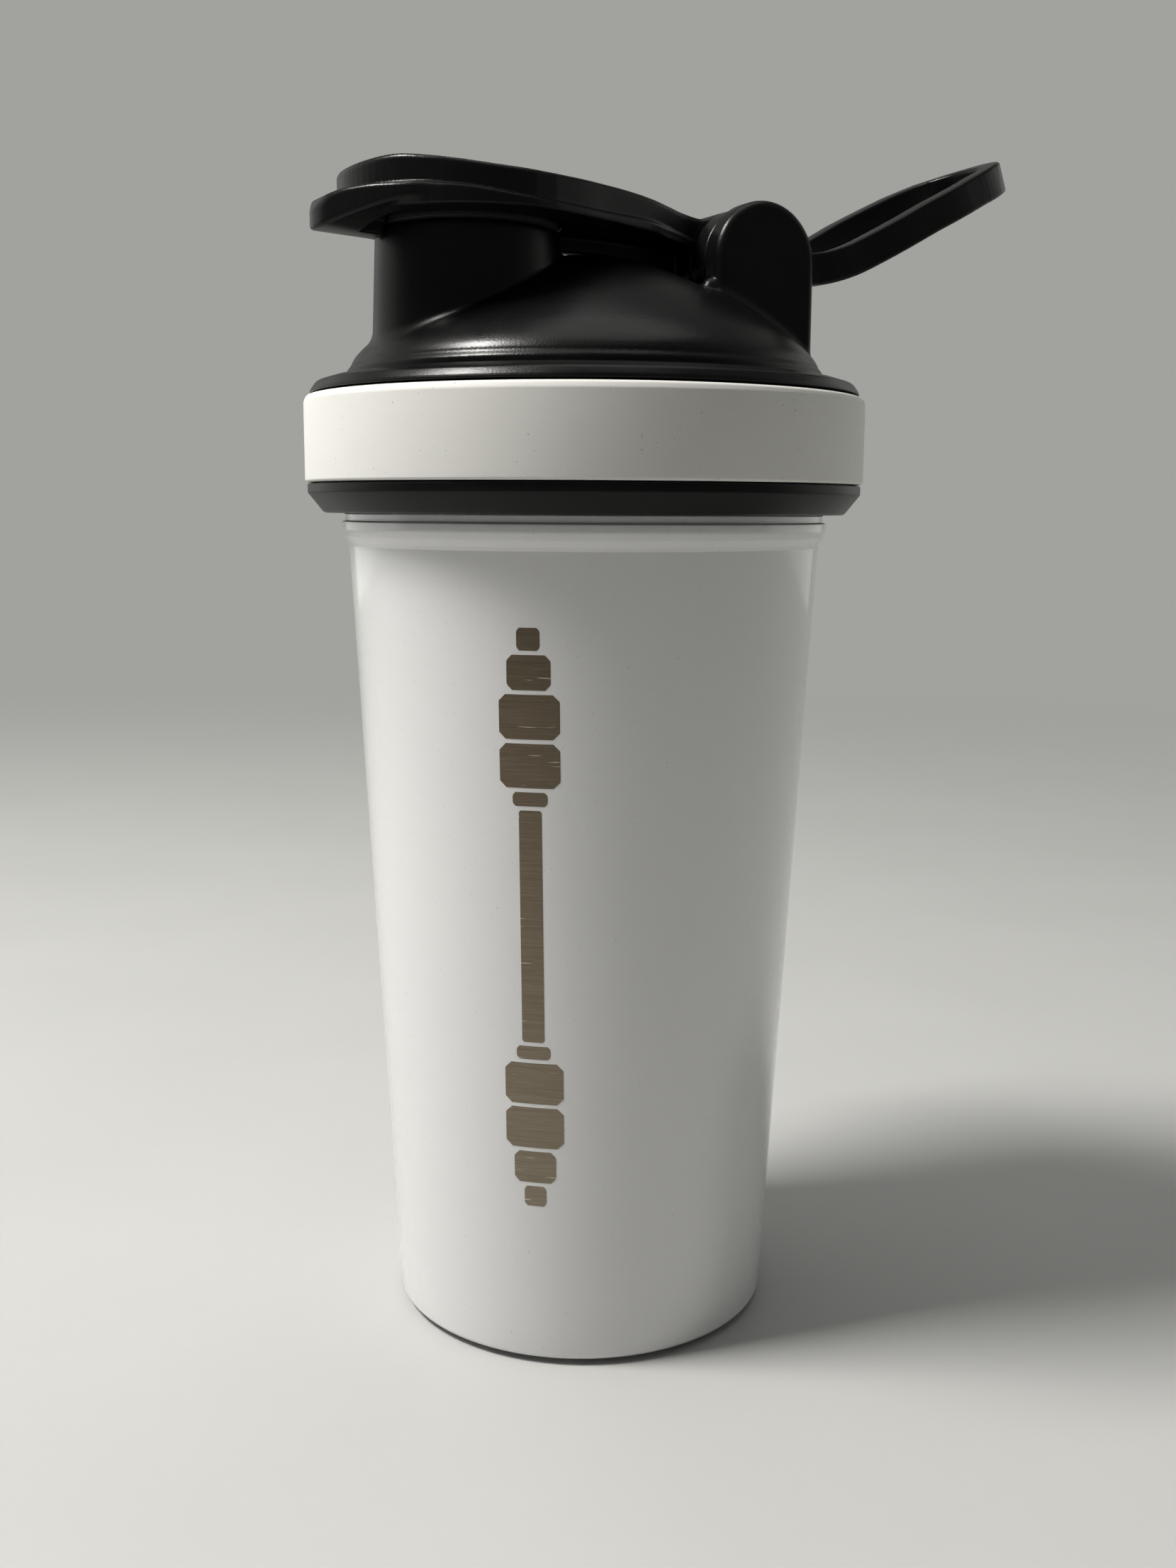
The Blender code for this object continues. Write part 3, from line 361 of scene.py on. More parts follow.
def swept(path, outward, section, rounded_ends=True):
    """A tube: the section's points (along outward, across) carried along a path in space."""
    path, outward = np.array(path, float), np.array(outward, float)
    along = np.gradient(path, axis=0)
    along /= np.linalg.norm(along, axis=1)[:, None]
    outward -= (outward * along).sum(1)[:, None] * along
    outward /= np.linalg.norm(outward, axis=1)[:, None]
    across = np.cross(along, outward)
    section = np.asarray(section, float)
    if section.ndim == 2:
        section = np.tile(section, (len(path), 1, 1))
    if rounded_ends:
        reach = np.abs(section).max()
        steps = np.array([0.0, 0.35, 0.7, 0.92])
        shrink = np.sqrt(1 - (1 - steps) ** 2)[:, None, None]
        lead = path[0] - along[0] * reach * (1 - steps)[:, None]
        tail = path[-1] + along[-1] * reach * (1 - steps[::-1])[:, None]
        path = np.concatenate([lead, path, tail])
        outward = np.concatenate([np.tile(outward[0], (4, 1)), outward, np.tile(outward[-1], (4, 1))])
        across = np.concatenate([np.tile(across[0], (4, 1)), across, np.tile(across[-1], (4, 1))])
        section = np.concatenate([section[:1] * np.maximum(shrink, 0.02), section,
                                  section[-1:] * np.maximum(shrink[::-1], 0.02)])
    count = section.shape[1]
    points = (path[:, None] + section[:, :, :1] * outward[:, None] + section[:, :, 1:] * across[:, None])
    rows = len(path)
    i, j = np.meshgrid(np.arange(rows - 1), np.arange(count), indexing="ij")
    side = (j + 1) % count
    faces = np.stack([i * count + j, i * count + side, (i + 1) * count + side, (i + 1) * count + j], -1)
    faces = [tuple(f) for f in faces.reshape(-1, 4)]
    faces += [tuple(range(count))[::-1], tuple((rows - 1) * count + k for k in range(count))]
    return points.reshape(-1, 3), faces


# ---------------------------------------------------------------- distance fields
def round_and(a, b, radius):
    """Inside both, with a rounded edge."""
    return (np.minimum(-radius, np.maximum(a, b))
            + np.hypot(np.maximum(radius + a, 0), np.maximum(radius + b, 0)))


def round_or(a, b, radius):
    """Inside either, with a fillet where they meet."""
    return (np.maximum(radius, np.minimum(a, b))
            - np.hypot(np.maximum(radius - a, 0), np.maximum(radius - b, 0)))


def outline_distance(points, x, y):
    """Signed distance to a closed outline, negative inside."""
    shape = np.broadcast(x, y).shape
    best, sign = np.full(shape, np.inf), np.ones(shape)
    points = np.array(points, float)
    for (ax, ay), (bx, by) in zip(points, np.roll(points, -1, axis=0)):
        ex, ey = bx - ax, by - ay
        size = ex * ex + ey * ey
        if size < 1e-12:
            continue
        wx, wy = x - ax, y - ay
        t = np.clip((wx * ex + wy * ey) / size, 0, 1)
        best = np.minimum(best, (wx - ex * t) ** 2 + (wy - ey * t) ** 2)
        above, below, left = y >= ay, y < by, ex * wy > ey * wx
        sign = np.where((above & below & left) | ~(above | below | left), -sign, sign)
    return sign * np.sqrt(best)


class Outline:
    """The signed distance to an outline, read from a fine grid."""

    def __init__(self, points, low, high, pitch=0.12):
        self.low, self.pitch = low, pitch
        x = np.arange(low[0], high[0] + pitch, pitch)
        y = np.arange(low[1], high[1] + pitch, pitch)
        self.grid = outline_distance(points, x[:, None], y[None, :])

    def __call__(self, x, y):
        u, v = np.broadcast_arrays((x - self.low[0]) / self.pitch, (y - self.low[1]) / self.pitch)
        u = np.clip(u, 0, self.grid.shape[0] - 1.001)
        v = np.clip(v, 0, self.grid.shape[1] - 1.001)
        i, j = u.astype(int), v.astype(int)
        u, v, g = u - i, v - j, self.grid
        return ((g[i, j] * (1 - u) + g[i + 1, j] * u) * (1 - v)
                + (g[i, j + 1] * (1 - u) + g[i + 1, j + 1] * u) * v)


def field_mesh(field, low, high, cell):
    """Points, quads and normals of a field's zero surface, by surface nets with the points moved onto it."""
    low = np.array(low, float)
    counts = np.ceil((np.array(high) - low) / cell).astype(int) + 1
    x, y, z = (low[i] + cell * np.arange(counts[i]) for i in range(3))
    values = field(x[:, None, None], y[None, :, None], z[None, None, :])
    values = np.broadcast_to(values, counts).astype(np.float32)
    inside = values < 0
    nx, ny, nz = counts
    filled = sum(inside[a:nx - 1 + a, b:ny - 1 + b, c:nz - 1 + c].astype(np.int8)
                 for a, b, c in product((0, 1), repeat=3))
    cells = np.argwhere((filled > 0) & (filled < 8))
    index = np.full(counts - 1, -1)
    index[tuple(cells.T)] = np.arange(len(cells))
    total, hits = np.zeros((len(cells), 3)), np.zeros(len(cells))
    for axis in range(3):
        for first, second in product((0, 1), repeat=2):
            start = np.insert(np.array([first, second]), axis, 0)
            end = np.insert(np.array([first, second]), axis, 1)
            a, b = values[tuple((cells + start).T)], values[tuple((cells + end).T)]
            crossed = (a < 0) != (b < 0)
            share = np.where(crossed, a / np.where(crossed, a - b, 1), 0)[:, None]
            total += np.where(crossed[:, None], start + share * (end - start), 0)
            hits += crossed
    points = low + (cells + total / hits[:, None]) * cell

    quads = []
    for axis in range(3):
        ahead = [slice(1, -1)] * 3
        here = [slice(1, -1)] * 3
        here[axis], ahead[axis] = slice(0, -1), slice(1, None)
        a, b = inside[tuple(here)], inside[tuple(ahead)]
        spots = np.argwhere(a != b)
        into = a[tuple(spots.T)]
        offset = np.ones(3, int)
        offset[axis] = 0
        spots = spots + offset
        u, v = np.eye(3, dtype=int)[(axis + 1) % 3], np.eye(3, dtype=int)[(axis + 2) % 3]
        ring = np.stack([index[tuple((spots - move).T)] for move in (u + v, v, 0 * u, u)], -1)
        quads.append(np.where(into[:, None], ring, ring[:, ::-1]))
    quads = np.concatenate(quads)

    def slope(p, step):
        rise = [field(*(p + step * e).T) - field(*(p - step * e).T) for e in np.eye(3)]
        return np.stack(rise, -1) / (2 * step)

    for _ in range(3):
        gradient = slope(points, 0.04)
        size = np.maximum((gradient ** 2).sum(1), 0.25)
        move = np.clip(field(*points.T) / size, -0.4 * cell, 0.4 * cell)
        points = points - move[:, None] * gradient
    normals = slope(points, 0.16)
    normals /= np.maximum(np.linalg.norm(normals, axis=1), 1e-9)[:, None]
    return points, quads, normals


# ---------------------------------------------------------------- cup
def wall_radius(height):
    return WALL_BASE + WALL_SLOPE * height


def outer_shell_profile():
    """The coated outer wall: neck, the two-step bead under the lid, tapered side and undercut foot."""
    return filleted([
        (38.95, 162.0), (40.6, 162.0, 0.7), (40.6, 145.35, 0.25), (42.35, 145.25, 0.25),
        (42.35, 143.95, 0.1), (42.9, 143.9, 0.3), (42.95, 142.5, 1.5), (42.55, 141.3, 1.0),
        (41.9, 140.25, 0.5), (wall_radius(139.6), 139.6, 0.25),
        (wall_radius(70.0), 70.0), (wall_radius(8.0), 8.0), (wall_radius(0.75), 0.75, 2.3),
        (31.7, 0.75, 0.2), (31.4, 0.0, 0.2), (30.4, 0.0, 0.1), (30.4, 1.0, 0.1),
        (32.6, 1.5, 0.8), (wall_radius(8.0) - WALL_THICKNESS, 8.0),
        (wall_radius(BEAD_FOOT) - WALL_THICKNESS, BEAD_FOOT, 0.5),
        (41.8, 141.4, 0.5), (41.8, 144.0, 0.3), (39.8, 144.4, 0.3), (39.8, 161.2, 0.2), (38.95, 161.2),
    ])


def inner_shell_profile():
    """The steel liner, from the drinking lip down to the domed floor."""
    floor_radius = 38.0 - WALL_SLOPE * (BEAD_FOOT - 15.3)
    inside = [(38.0, 162.0, 0.4), (38.0, BEAD_FOOT, 3.0), (floor_radius, 13.5, 4.6),
              (26.0, 10.3, 2.0), (10.0, 10.55, 2.0), (0.0, 10.7)]
    outside = [(38.9, 162.0, 0.2), (38.9, BEAD_FOOT, 3.0), (floor_radius + WALL_THICKNESS, 13.2, 5.4),
               (26.0, 9.5, 2.0), (0.0, 9.5)]
    return filleted(outside + inside[::-1])


def thread_rib(root, crest, height, start, sweep=THREAD_SWEEP):
    """One helical rib whose ends run out into the wall; it faces out where the crest is beyond the root."""
    steps = 110
    share = np.linspace(0, 1, steps)
    turn = radians(start) + radians(sweep) * share
    facing = np.stack([np.cos(turn), np.sin(turn), 0 * turn], -1)
    out = 1.0 if crest > root else -1.0
    path = facing * root
    path[:, 2] = height + THREAD_LEAD * sweep / 360 * share
    rise = abs(crest - root) * np.clip(np.minimum(share, 1 - share) / 0.09, 0.02, 1) ** 0.5
    base = filleted([(0.0, -1.15), (0.0, 1.15), (1.0, 0.55, 0.3), (1.0, -0.55, 0.3)])
    base = np.array(base)
    section = np.stack([np.outer(rise, base[:, 0]) * out, np.tile(base[:, 1], (steps, 1))], -1)
    return swept(path, facing, section, rounded_ends=False)


def mark_patch(low, high, half_width, middle=-130.3, columns=8, depth=0.05):
    """A thin plate that lies on the tapered wall; half_width(share of height) shapes it."""
    rows = max(6, int((high - low) / 0.35))
    share = np.linspace(0, 1, rows + 1)
    points = []
    for layer in (0.03, -depth):
        for s in share:
            z = low + (high - low) * s
            radius = wall_radius(z) + layer
            for u in np.linspace(-1, 1, columns + 1):
                angle = radians(middle) + u * half_width(s, high - low) / radius
                points.append((radius * cos(angle), radius * sin(angle), z))
    wide, size = columns + 1, (rows + 1) * (columns + 1)
    faces = []
    for i, j in product(range(rows), range(columns)):
        a = i * wide + j
        faces.append((a, a + 1, a + wide + 1, a + wide))
        faces.append((size + a, size + a + wide, size + a + wide + 1, size + a + 1))
    edge = ([j for j in range(columns)] + [i * wide + columns for i in range(rows)]
            + [rows * wide + j for j in range(columns, 0, -1)] + [i * wide for i in range(rows, 0, -1)])
    for a, b in zip(edge, edge[1:] + edge[:1]):
        faces.append((a, size + a, size + b, b))
    return points, faces


def cut_plate(half, corner):
    """Half width of a plate with its corners cut off, at a share of its height."""
    def width(share, tall):
        return half - max(0.0, corner - min(share, 1 - share) * tall)
    return width


def make_mark(material):
    """Laser-bared steel: a plain upright dumbbell of plates with cut corners."""
    low, high = 29.6, 127.8
    plates = [(0.0, 3.6, 1.9, 0.5), (4.3, 5.6, 3.6, 0.9), (10.6, 7.2, 5.0, 1.1), (18.5, 7.2, 5.0, 1.1),
              (26.4, 2.3, 2.9, 0.5)]
    points, faces = [], []

    def put(bottom, tall, half, corner):
        made, quads = mark_patch(bottom, bottom + tall, cut_plate(half, corner))
        faces.extend(tuple(i + len(points) for i in f) for f in quads)
        points.extend(made)

    for start, tall, half, corner in plates:
        put(low + start, tall, half, corner)
        put(high - start - tall, tall, half, corner)
    put(low + 29.4, high - low - 58.8, 1.9, 0.3)
    return make_piece("bare_steel_mark", points, faces, material, "cup", None, "bare_steel", crease=50.0)


# ---------------------------------------------------------------- lid
def lid_collar_profile():
    """The lid below its dome: rim, seat of the band, skirt, bore and the rib that centres the seal."""
    return filleted([
        (35.6, 168.0), (41.3, 168.2), (41.9, 168.05, 0.3), (42.6, 168.35, 0.5), (44.3, 168.1, 2.0),
        (46.9, 167.3, 1.2), (47.75, 166.1, 0.8), (48.0, 165.45, 0.25), (46.5, 165.45, 0.1),
        (46.5, 150.25, 0.1), (48.6, 150.25, 0.35), (48.6, 148.7, 0.6), (45.85, 145.25, 1.1),
        (43.3, 145.25, 0.25), (42.8, 146.7, 0.4), (42.8, 164.9, 0.2), (37.2, 164.9, 0.2),
        (37.2, 160.6, 0.4), (35.6, 160.6, 0.4),
    ])


DOME = [(0.0, 189.44), (4.0, 189.2), (8.0, 188.58), (12.0, 187.5), (16.0, 186.0), (20.0, 184.3),
        (24.0, 182.45), (27.0, 180.9), (30.0, 179.15), (33.0, 177.3), (36.0, 175.25), (38.5, 173.15),
        (39.85, 171.75), (40.55, 170.7)]


def make_dome_field():
    """Dome, spout, ears and nubs as one moulding, hollow below."""
    outside = smooth_line(DOME, 4) + [(40.75, 170.15, 0.6), (41.45, 169.3, 0.7), (41.5, 167.6), (0.0, 167.6)]
    low, high = (-1.0, 160.0), (62.0, 203.0)
    outer = Outline(filleted(outside), low, high)
    inside = smooth_line([(max(r - 0.9, 0.0), z - 1.9) for r, z in DOME[:9]], 4)
    inside += [(33.2, 174.4, 3.0), (35.4, 171.8, 2.0), (36.3, 169.0), (36.3, 160.0), (0.0, 160.0)]
    hollow = Outline(filleted(inside), low, high)

    def field(x, y, z):
        radius = np.hypot(x, y)
        dome = outer(radius, z)
        across = np.hypot(x - SPOUT_X, y)
        tower = across - (16.25 - 0.037 * np.clip(z - 171, 0, 21))
        spout = round_and(tower, z - SPOUT_TOP, 0.7)
        away = np.abs(y)
        upright = np.hypot(x - PIVOT_X - 0.3, np.maximum(z - PIVOT_Z + 0.1, 0)) - EAR_RADIUS
        ear = round_and(round_and(upright, away - EAR_OUTER, 1.5), EAR_INNER - away, 0.5)
        body = round_or(dome, spout, 1.1)
        body = round_or(body, ear, 2.2)
        slide = np.clip((z - 181.5) / 2.2, 0, 1)
        nub = np.sqrt((x - 16.9 - 0.4 * slide) ** 2 + (away - 13.7) ** 2 + (z - 181.5 - 2.2 * slide) ** 2)
        body = round_or(body, nub - (1.35 + 0.45 * slide), 0.5)
        hinge = np.hypot(x - PIVOT_X, z - PIVOT_Z)
        pad = np.maximum(hinge - 11.5, away - 13.4)
        cavity = round_and(hollow(radius, z), -pad, 1.0)
        body = round_and(body, -cavity, 0.3)
        body = round_and(body, -np.maximum(hinge - 9.9, away - 11.5), 0.4)
        body = round_and(body, -(across - SPOUT_BORE), 0.6)
        body = np.maximum(body, -np.maximum(hinge - PIN_HOLE, away - 14.8))
        return np.maximum(body, 167.9 - z)

    return field


# ---------------------------------------------------------------- cap and loop
def cap_outline(head):
    """Plan of the cap: round over the spout, waisted, then the knuckle's width."""
    widening = head - 21.3
    side = [(-17.6, 20.8), (-10.0, 18.1), (-4.0, 15.6), (1.5, 13.4), (7.0, 11.1), (12.0, 8.6), (16.0, 6.7),
            (19.5, 5.9)]
    side = [(x, y + widening * (1 if x < 10 else 0.4)) for x, y in side]
    far = smooth_line(side, 5) + [(PIVOT_X, 5.9)]
    near = [(x, -y) for x, y in far]
    return circle_part(SPOUT_X, 0, head, 84, 276, 48) + near[1:] + far[::-1][:-1]


def make_cap_field():
    """Crowned head over a thin lip, with a drooping thumb tab in front and a knuckle behind."""
    low, high = (-56.0, -30.0), (40.0, 30.0)
    head_plan = Outline(cap_outline(21.6), low, high)
    lip_plan = Outline(cap_outline(22.4), low, high)
    side_low, side_high = (-56.0, 176.0), (40.0, 206.0)
    crown = smooth_line([(-52.0, 197.6), (-46.0, 199.3), (-43.2, 200.2), (-40.0, 200.6),
                         (-36.5, 200.15), (-32.0, 199.5),
                         (-26.0, 198.85), (-18.0, 198.55), (-8.0, 198.6), (0.0, 198.5), (7.0, 198.1),
                         (12.0, 197.65), (16.0, 197.15), (20.0, 196.65), (26.2, 196.2)])
    head_side = Outline(crown + [(26.2, 192.0), (18.0, 192.0), (0.0, 193.0), (-52.0, 193.0)],
                        side_low, side_high)
    lip_top = smooth_line([(-52.0, 196.0), (-45.0, 196.0), (-39.5, 195.95), (-36.5, 195.8), (-32.5, 195.55),
                           (-28.5, 195.1), (-24.0, 194.55), (-19.0, 194.25), (-10.0, 194.05), (-3.0, 194.1),
                           (3.0, 194.2), (8.0, 194.15), (12.0, 193.85), (16.0, 193.3), (19.0, 192.6)])
    lip_side = Outline(lip_top + [(19.0, 191.0), (17.5, 191.2), (5.0, 192.3), (-2.0, 192.5), (-52.0, 192.5)],
                       side_low, side_high)
    tab_side = Outline(filleted([(-34.0, 195.6), (-38.8, 195.9), (-44.0, 195.95, 2.0), (-46.5, 195.7, 3.0),
                                 (-48.3, 195.05, 2.5), (-49.6, 193.3, 0.9), (-49.6, 190.0, 0.7),
                                 (-38.3, 189.35, 0.5), (-37.5, 192.8, 0.5), (-34.0, 192.8)]),
                       side_low, side_high)
    flank = [(-34.0, 17.8), (-38.8, 15.9), (-42.5, 12.7), (-45.5, 8.8), (-47.7, 5.3), (-49.0, 2.7)]
    tab_plan = Outline(smooth_line([(x, -y) for x, y in flank] + [(-49.6, 0.0)] + flank[::-1], 5), low, high)
    web_side = Outline(filleted([(24.0, 195.0), (-6.25, 195.0), (-6.25, 189.65, 0.3), (3.0, 189.62, 4.0),
                                 (10.0, 188.55, 8.0), (18.5, 186.2), (24.0, 186.2)]), side_low, side_high)

    def field(x, y, z):
        away = np.abs(y)
        head = round_and(head_plan(x, y), head_side(x, z), 0.9)
        lip = round_and(lip_plan(x, y), lip_side(x, z), 0.6)
        tab = round_and(tab_plan(x, y), tab_side(x, z), 0.7)
        keel = (189.35 - 0.057 * (x + 38.3) + 0.31 * (np.hypot(y, 2.5) - 2.5) - z) * 0.955
        tab = round_and(tab, keel, 0.6)
        across = np.hypot(x - SPOUT_X, y)
        tab = round_and(tab, -np.maximum(np.maximum(across - 20.2, 2.6 - away), z - 193.4), 0.3)
        lip = round_or(lip, tab, 0.8)
        body = round_or(head, lip, 0.35)
        hinge = np.hypot(x - PIVOT_X, z - PIVOT_Z)
        knuckle = round_and(hinge - EYE_RADIUS, away - 5.95, 0.5)
        body = round_or(body, knuckle, 1.2)
        body = round_or(body, round_and(web_side(x, z), away - 1.5, 0.4), 0.7)
        pocket = np.maximum(across - 15.5, z - 195.7)
        body = round_and(body, -pocket, 0.3)
        return np.maximum(body, -(hinge - PIN_HOLE))

    return field


def loop_line():
    """The loop's centreline seen from the side: level at the eyes, a bend, then straight."""
    slope, start, radius, level = radians(28.4), 38.5, 24.0, PIVOT_Z - 0.1
    line = [(PIVOT_X - 3.0, level), (start, level)]
    for k in range(1, 13):
        angle = slope * k / 12
        line.append((start + radius * sin(angle), level + radius * (1 - cos(angle))))
    for run, turn in ((14.1, 0.0), (12.0, 2.0), (6.0, 4.1), (16.0, 7.4)):
        x, z = line[-1]
        line.append((x + run, z + run * tan(slope - radians(turn))))
    return line


def make_loop_field():
    """A strap of rounded section, with an eye on each side of the cap's knuckle."""
    line = np.array(loop_line())
    low, high = (10.0, 170.0), (96.0, 224.0)
    pitch = 0.12
    gx = np.arange(low[0], high[0] + pitch, pitch)[:, None]
    gz = np.arange(low[1], high[1] + pitch, pitch)[None, :]
    best = np.full((gx.size, gz.size), np.inf)
    foot = np.zeros_like(best)
    for (ax, az), (bx, bz) in zip(line, line[1:]):
        ex, ez = bx - ax, bz - az
        t = np.clip(((gx - ax) * ex + (gz - az) * ez) / (ex * ex + ez * ez), 0, 1)
        gap = np.hypot(gx - ax - ex * t, gz - az - ez * t)
        foot = np.where(gap < best, ax + ex * t, foot)
        best = np.minimum(best, gap)
    off_line = Outline([(0, 0), (1, 0), (0, 1)], low, high, pitch)
    off_line.grid = best
    foot_x = Outline([(0, 0), (1, 0), (0, 1)], low, high, pitch)
    foot_x.grid = foot

    widths = [(15.0, 11.0), (27.0, 11.0), (38.0, 11.0), (43.0, 11.15), (46.5, 12.4), (51.0, 14.3),
              (57.0, 15.6), (64.0, 16.0), (69.0, 15.95), (73.0, 15.5)]

    def plan(inset):
        side = [(x, y - inset) for x, y in smooth_line(widths, 5)]
        end = circle_part(LOOP_TIP - LOOP_TIP_RADIUS, 0, LOOP_TIP_RADIUS - inset, 80, 0, 16)
        half = side[:-1] + end
        return Outline(half + [(x, -y) for x, y in half[-2::-1]], (10.0, -20.0), (96.0, 20.0))

    outer, inner = plan(0.0), plan(STRAP_WIDTH)

    def field(x, y, z):
        along = foot_x(x, z)
        strap = off_line(x, z) - STRAP_HALF_THICKNESS
        ring = np.maximum(outer(along, y), -inner(along, y))
        body = round_and(strap, ring, 0.55)
        hinge = np.hypot(x - PIVOT_X, z - PIVOT_Z)
        eye = round_and(hinge - EYE_RADIUS, np.abs(np.abs(y) - 8.7) - 2.4, 0.5)
        body = round_or(np.maximum(body, PIVOT_X - x), eye, 1.2)
        body = np.maximum(body, 6.3 - np.abs(y) - 100.0 * (along > 46.0))
        return np.maximum(body, -(hinge - PIN_HOLE))

    return field


def whisk_wire():
    """One wire wound as a spiral over a sphere, from pole to pole."""
    turns, pole = 6, radians(12)
    share = np.linspace(0, 1, turns * 40 + 1)
    latitude = pole + (pi - 2 * pole) * share
    turn = 2 * pi * turns * share
    outward = np.stack([np.sin(latitude) * np.cos(turn), np.sin(latitude) * np.sin(turn),
                        -np.cos(latitude)], -1)
    path = outward * BALL_RADIUS + np.array([0, 0, BALL_CENTRE])
    section = circle_part(0, 0, WIRE_RADIUS, 0, 330, 11)
    return swept(path, outward, section)


# ---------------------------------------------------------------- pieces
coat = white_coat("white_powder_coat")
wall_steel = brushed_steel("brushed_liner_steel", (0.60, 0.585, 0.56, 1))
base_steel = brushed_steel("spun_base_steel", (0.56, 0.55, 0.53, 1), rough=0.30, lines="radius")
mark_steel = bare_mark("laser_bared_steel")
lid_black = moulded_plastic("moulded_black_lid")
cap_black = moulded_plastic("moulded_black_cap", (0.0056, 0.0056, 0.0058, 1))
loop_black = moulded_plastic("moulded_black_loop", (0.0066, 0.0066, 0.0068, 1))
band_white = silicone("white_silicone_band", (0.765, 0.758, 0.727, 1), (0.795, 0.788, 0.760, 1), 0.60)
seal_grey = silicone("grey_silicone_seal", (0.42, 0.43, 0.44, 1), (0.50, 0.51, 0.52, 1), 0.48, 0.006, 0.15)
seal_black = silicone("black_silicone_plug", (0.018, 0.018, 0.019, 1), (0.028, 0.028, 0.029, 1), 0.52, 0.006)
pin_steel = brushed_steel("ground_pin_steel", (0.60, 0.60, 0.60, 1), rough=0.22)
wire_steel = drawn_wire("polished_wire")
bead_glass = grainy("dark_sealing_glass", (0.05, 0.12, 0.10, 1), (0.09, 0.20, 0.16, 1), 0.16, 0.0, 900.0,
                    0.01, 0.4)
sinter = grainy("sintered_getter", (0.10, 0.10, 0.10, 1), (0.30, 0.30, 0.31, 1), 0.65, 0.8, 6000.0, 0.03)

make_piece("outer_wall", *turned(outer_shell_profile()), coat, "cup", "outer_shell", "white_coat")
make_piece("liner", *turned(inner_shell_profile()), wall_steel, "cup", "inner_shell", "bare_steel")
for start in (0, 180):
    make_piece(f"neck_thread_{start}", *thread_rib(40.3, 42.3, 148.6, start), coat, "cup", None, "white_coat",
               crease=50.0)
    make_piece(f"lid_thread_{start}", *thread_rib(43.1, 41.1, 147.55, start + 48.0), lid_black, "lid", None,
               "black_plastic", crease=50.0)
make_mark(mark_steel)
disc = filleted([(0.0, 1.4), (29.8, 1.4, 0.3), (30.1, 0.9, 0.3), (30.1, 0.0, 0.35), (27.6, 0.0, 0.6),
                 (26.6, 0.45, 0.6), (0.0, 0.45)])
make_piece("base_plate", *turned(disc), base_steel, "cup", "base_disc", "bare_steel")

make_piece("lid_collar", *turned(lid_collar_profile()), lid_black, "lid", "lid_shell", "black_plastic")
points, quads, normals = field_mesh(make_dome_field(), (-42.2, -42.2, 167.2), (42.2, 42.2, 199.4), 0.5)
make_piece("lid_dome", points, quads, lid_black, "lid", "lid_shell", "black_plastic", normals)
band = filleted([(46.75, 165.15), (47.3, 165.2, 0.6), (48.55, 165.0, 0.8), (49.0, 164.0, 1.0),
                 (49.0, 150.7, 0.4), (48.6, 150.45, 0.3), (46.75, 150.45)])
make_piece("silicone_band", *turned(band), band_white, "lid", "grip_band", "white_silicone")
ring = filleted([(37.5, 164.6, 0.3), (42.5, 164.6, 0.3), (42.5, 162.3, 0.7), (40.9, 162.3, 0.3),
                 (40.5, 162.6, 0.3), (39.5, 162.6, 0.3), (39.1, 162.3, 0.3), (37.5, 162.3, 0.7)])
make_piece("seal_ring_rubber", *turned(ring), seal_grey, "seal_ring", "lid_seal", "clear_silicone")
pin = filleted([(0.0, 14.5), (2.0, 14.5, 0.4), (2.0, -14.5, 0.4), (0.0, -14.5)])
make_piece("pin_rod", *turned(pin, 64, "Y", (PIVOT_X, 0, PIVOT_Z)), pin_steel, "lid", "hinge_pin",
           "pin_steel")

points, quads, normals = field_mesh(make_cap_field(), (-51.0, -24.0, 178.6), (38.0, 24.0, 202.0), 0.4)
make_piece("flip_cap_moulding", points, quads, cap_black, "cap", "flip_cap", "cap_plastic", normals)
plug = filleted([(0.0, 195.4), (15.15, 195.4, 0.5), (15.15, 191.8, 0.4), (12.7, 191.8, 0.4),
                 (12.6, 189.6, 0.3), (12.75, 188.9, 0.4), (12.5, 188.2, 0.3), (12.4, 187.0, 0.5),
                 (11.8, 185.6, 0.4), (9.8, 185.6, 0.5), (9.4, 192.2, 0.8), (0.0, 192.8)])
make_piece("spout_plug", *turned(plug, centre=(SPOUT_X, 0, 0)), seal_black, "cap", "spout_seal",
           "black_silicone")
points, quads, normals = field_mesh(make_loop_field(), (16.0, -17.0, 178.6), (91.5, 17.0, 215.5), 0.4)
make_piece("carry_loop_moulding", points, quads, loop_black, "loop", "carry_loop", "loop_plastic", normals)
make_piece("whisk_wire", *whisk_wire(), wire_steel, "whisk", "whisk_ball", "wire_steel")

for node, material in (("base_shell", wall_steel), ("vacuum_plug", bead_glass), ("getter", sinter)):
    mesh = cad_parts[node].data
    mesh.materials.clear()
    mesh.materials.append(material)


# ---------------------------------------------------------------- camera, floor and light
def aim(obj, target):
    direction = Vector(target) - obj.location
    obj.rotation_euler = direction.to_track_quat("-Z", "Y").to_euler()


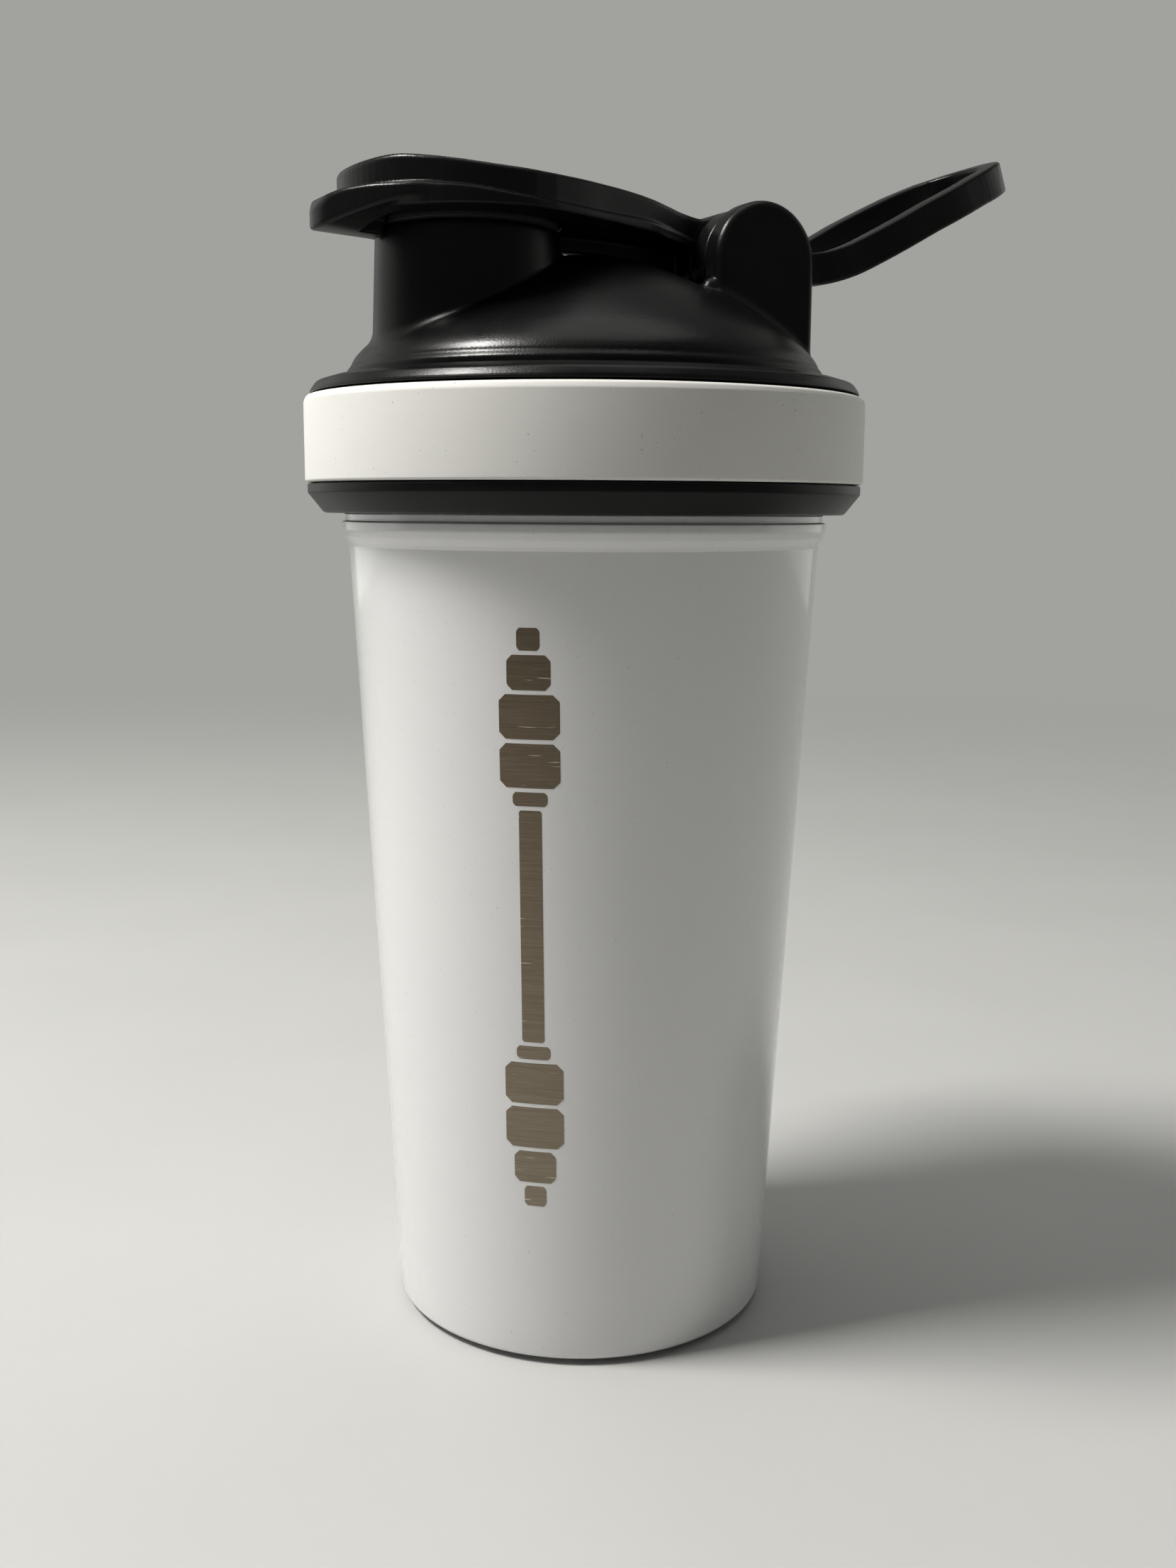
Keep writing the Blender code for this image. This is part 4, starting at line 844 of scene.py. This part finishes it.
def make_camera():
    """The viewing angle: spout to the left and towards the camera, loop to the right and away."""
    turn, pitch, roll, yaw = radians(28.0), radians(9.63), radians(0.31), radians(0.19)
    distance, height = 0.2966, 0.1466
    data = bpy.data.cameras.new("camera")
    data.sensor_fit = "VERTICAL"
    data.sensor_height = 36.0
    data.lens = 37.59
    data.clip_start = 0.01
    data.clip_end = 50.0
    camera = bpy.data.objects.new("camera", data)
    bpy.context.scene.collection.objects.link(camera)
    forward = Vector((sin(yaw) * cos(pitch), cos(yaw) * cos(pitch), -sin(pitch)))
    flat_right = Vector((cos(yaw), -sin(yaw), 0))
    flat_up = flat_right.cross(forward)
    right = cos(roll) * flat_right + sin(roll) * flat_up
    up = cos(roll) * flat_up - sin(roll) * flat_right
    axes = Matrix((right, up, -forward)).transposed().to_4x4()
    to_object = Matrix.Rotation(-turn, 4, "Z")
    camera.matrix_world = to_object @ Matrix.Translation((0, -distance, height)) @ axes
    bpy.context.scene.camera = camera


def area_light(name, place, target, size, energy, colour=(1, 1, 1)):
    data = bpy.data.lights.new(name, "AREA")
    data.shape = "RECTANGLE"
    data.size, data.size_y = size
    data.energy = energy
    data.color = colour
    light = bpy.data.objects.new(name, data)
    bpy.context.scene.collection.objects.link(light)
    light.location = place
    light.visible_camera = False
    aim(light, target)


BACK_TONE = (0.385, 0.388, 0.367, 1)
FRONT_TONE = (0.125, 0.126, 0.122, 1)
ZENITH_TONE = (0.150, 0.152, 0.148, 1)


def backdrop_tone(tree, way):
    """The tone round the horizon: pale behind the bottle and grey in front, like one pale wall."""
    flat = add(tree, "ShaderNodeVectorMath", {0: way, 1: (1, 1, 0)}, operation="MULTIPLY").outputs["Vector"]
    unit = add(tree, "ShaderNodeVectorMath", {0: flat}, operation="NORMALIZE").outputs["Vector"]
    behind = add(tree, "ShaderNodeVectorMath", {0: unit, 1: (0.4695, 0.8829, 0)},
                 operation="DOT_PRODUCT").outputs["Value"]
    return blend(tree, spread(tree, behind, 0.0, 1.0, -0.45, 0.35), FRONT_TONE, BACK_TONE)


def make_floor():
    """A pale floor, lit near the bottle and melting into the backdrop's tone far away."""
    mesh = bpy.data.meshes.new("floor")
    shape = bmesh.new()
    bmesh.ops.create_grid(shape, x_segments=24, y_segments=24, size=30.0)
    shape.to_mesh(mesh)
    shape.free()
    floor = bpy.data.objects.new("floor", mesh)
    bpy.context.scene.collection.objects.link(floor)
    floor.location.z = -0.0001
    material, tree, shader, place = new_material("pale_floor", IOR=1.45)
    shade = noise(tree, place, 14.0, detail=4.0)
    far = spread(tree, radius_of(tree, place), 0.0, 1.0, 0.30, 1.08)
    near_tone = blend(tree, shade, (0.53, 0.53, 0.522, 1), (0.57, 0.57, 0.562, 1))
    tree.links.new(blend(tree, far, near_tone, (0, 0, 0, 1)), shader.inputs["Base Color"])
    tree.links.new(backdrop_tone(tree, place), shader.inputs["Emission Color"])
    tree.links.new(far, shader.inputs["Emission Strength"])
    tree.links.new(spread(tree, far, 0.5, 1.0), shader.inputs["Roughness"])
    tree.links.new(spread(tree, far, 0.4, 0.0), shader.inputs["Specular IOR Level"])
    bump(tree, shader, noise(tree, place, 500.0, detail=3.0), 0.01)
    mesh.materials.append(material)


def make_world():
    """The backdrop's tone round the horizon, blending into the zenith's."""
    world = bpy.data.worlds.new("studio")
    world.use_nodes = True
    tree = world.node_tree
    way = add(tree, "ShaderNodeTexCoord").outputs["Generated"]
    rise = add(tree, "ShaderNodeSeparateXYZ", {"Vector": way}).outputs["Z"]
    tone = blend(tree, spread(tree, rise, 0.0, 1.0, 0.28, 0.75), backdrop_tone(tree, way), ZENITH_TONE)
    tree.links.new(tone, tree.nodes["Background"].inputs["Color"])
    bpy.context.scene.world = world


make_camera()
make_floor()
make_world()
# seen from the camera, left is (-0.88, 0.47) and behind the bottle is (0.47, 0.88)
area_light("key_softbox", (-0.67, 0.16, 1.15), (0, 0, 0.15), (0.34, 0.34), 17.5, (1.0, 0.985, 0.955))
area_light("overhead", (0.10, 0.10, 1.40), (0, 0, 0.0), (0.90, 0.90), 3.2, (1.0, 0.99, 0.97))
area_light("left_card", (-0.583, 0.933, 0.36), (0, 0, 0.12), (1.17, 0.90), 1.3, (0.99, 1.0, 0.98))
area_light("right_card", (1.10, 0.04, 0.36), (0, 0, 0.12), (1.17, 0.90), 0.9, (0.99, 1.0, 0.98))
view = bpy.context.scene.view_settings
view.view_transform = "Standard"
view.exposure = 0.17
view.gamma = 0.82           # a little more contrast, as a small camera gives
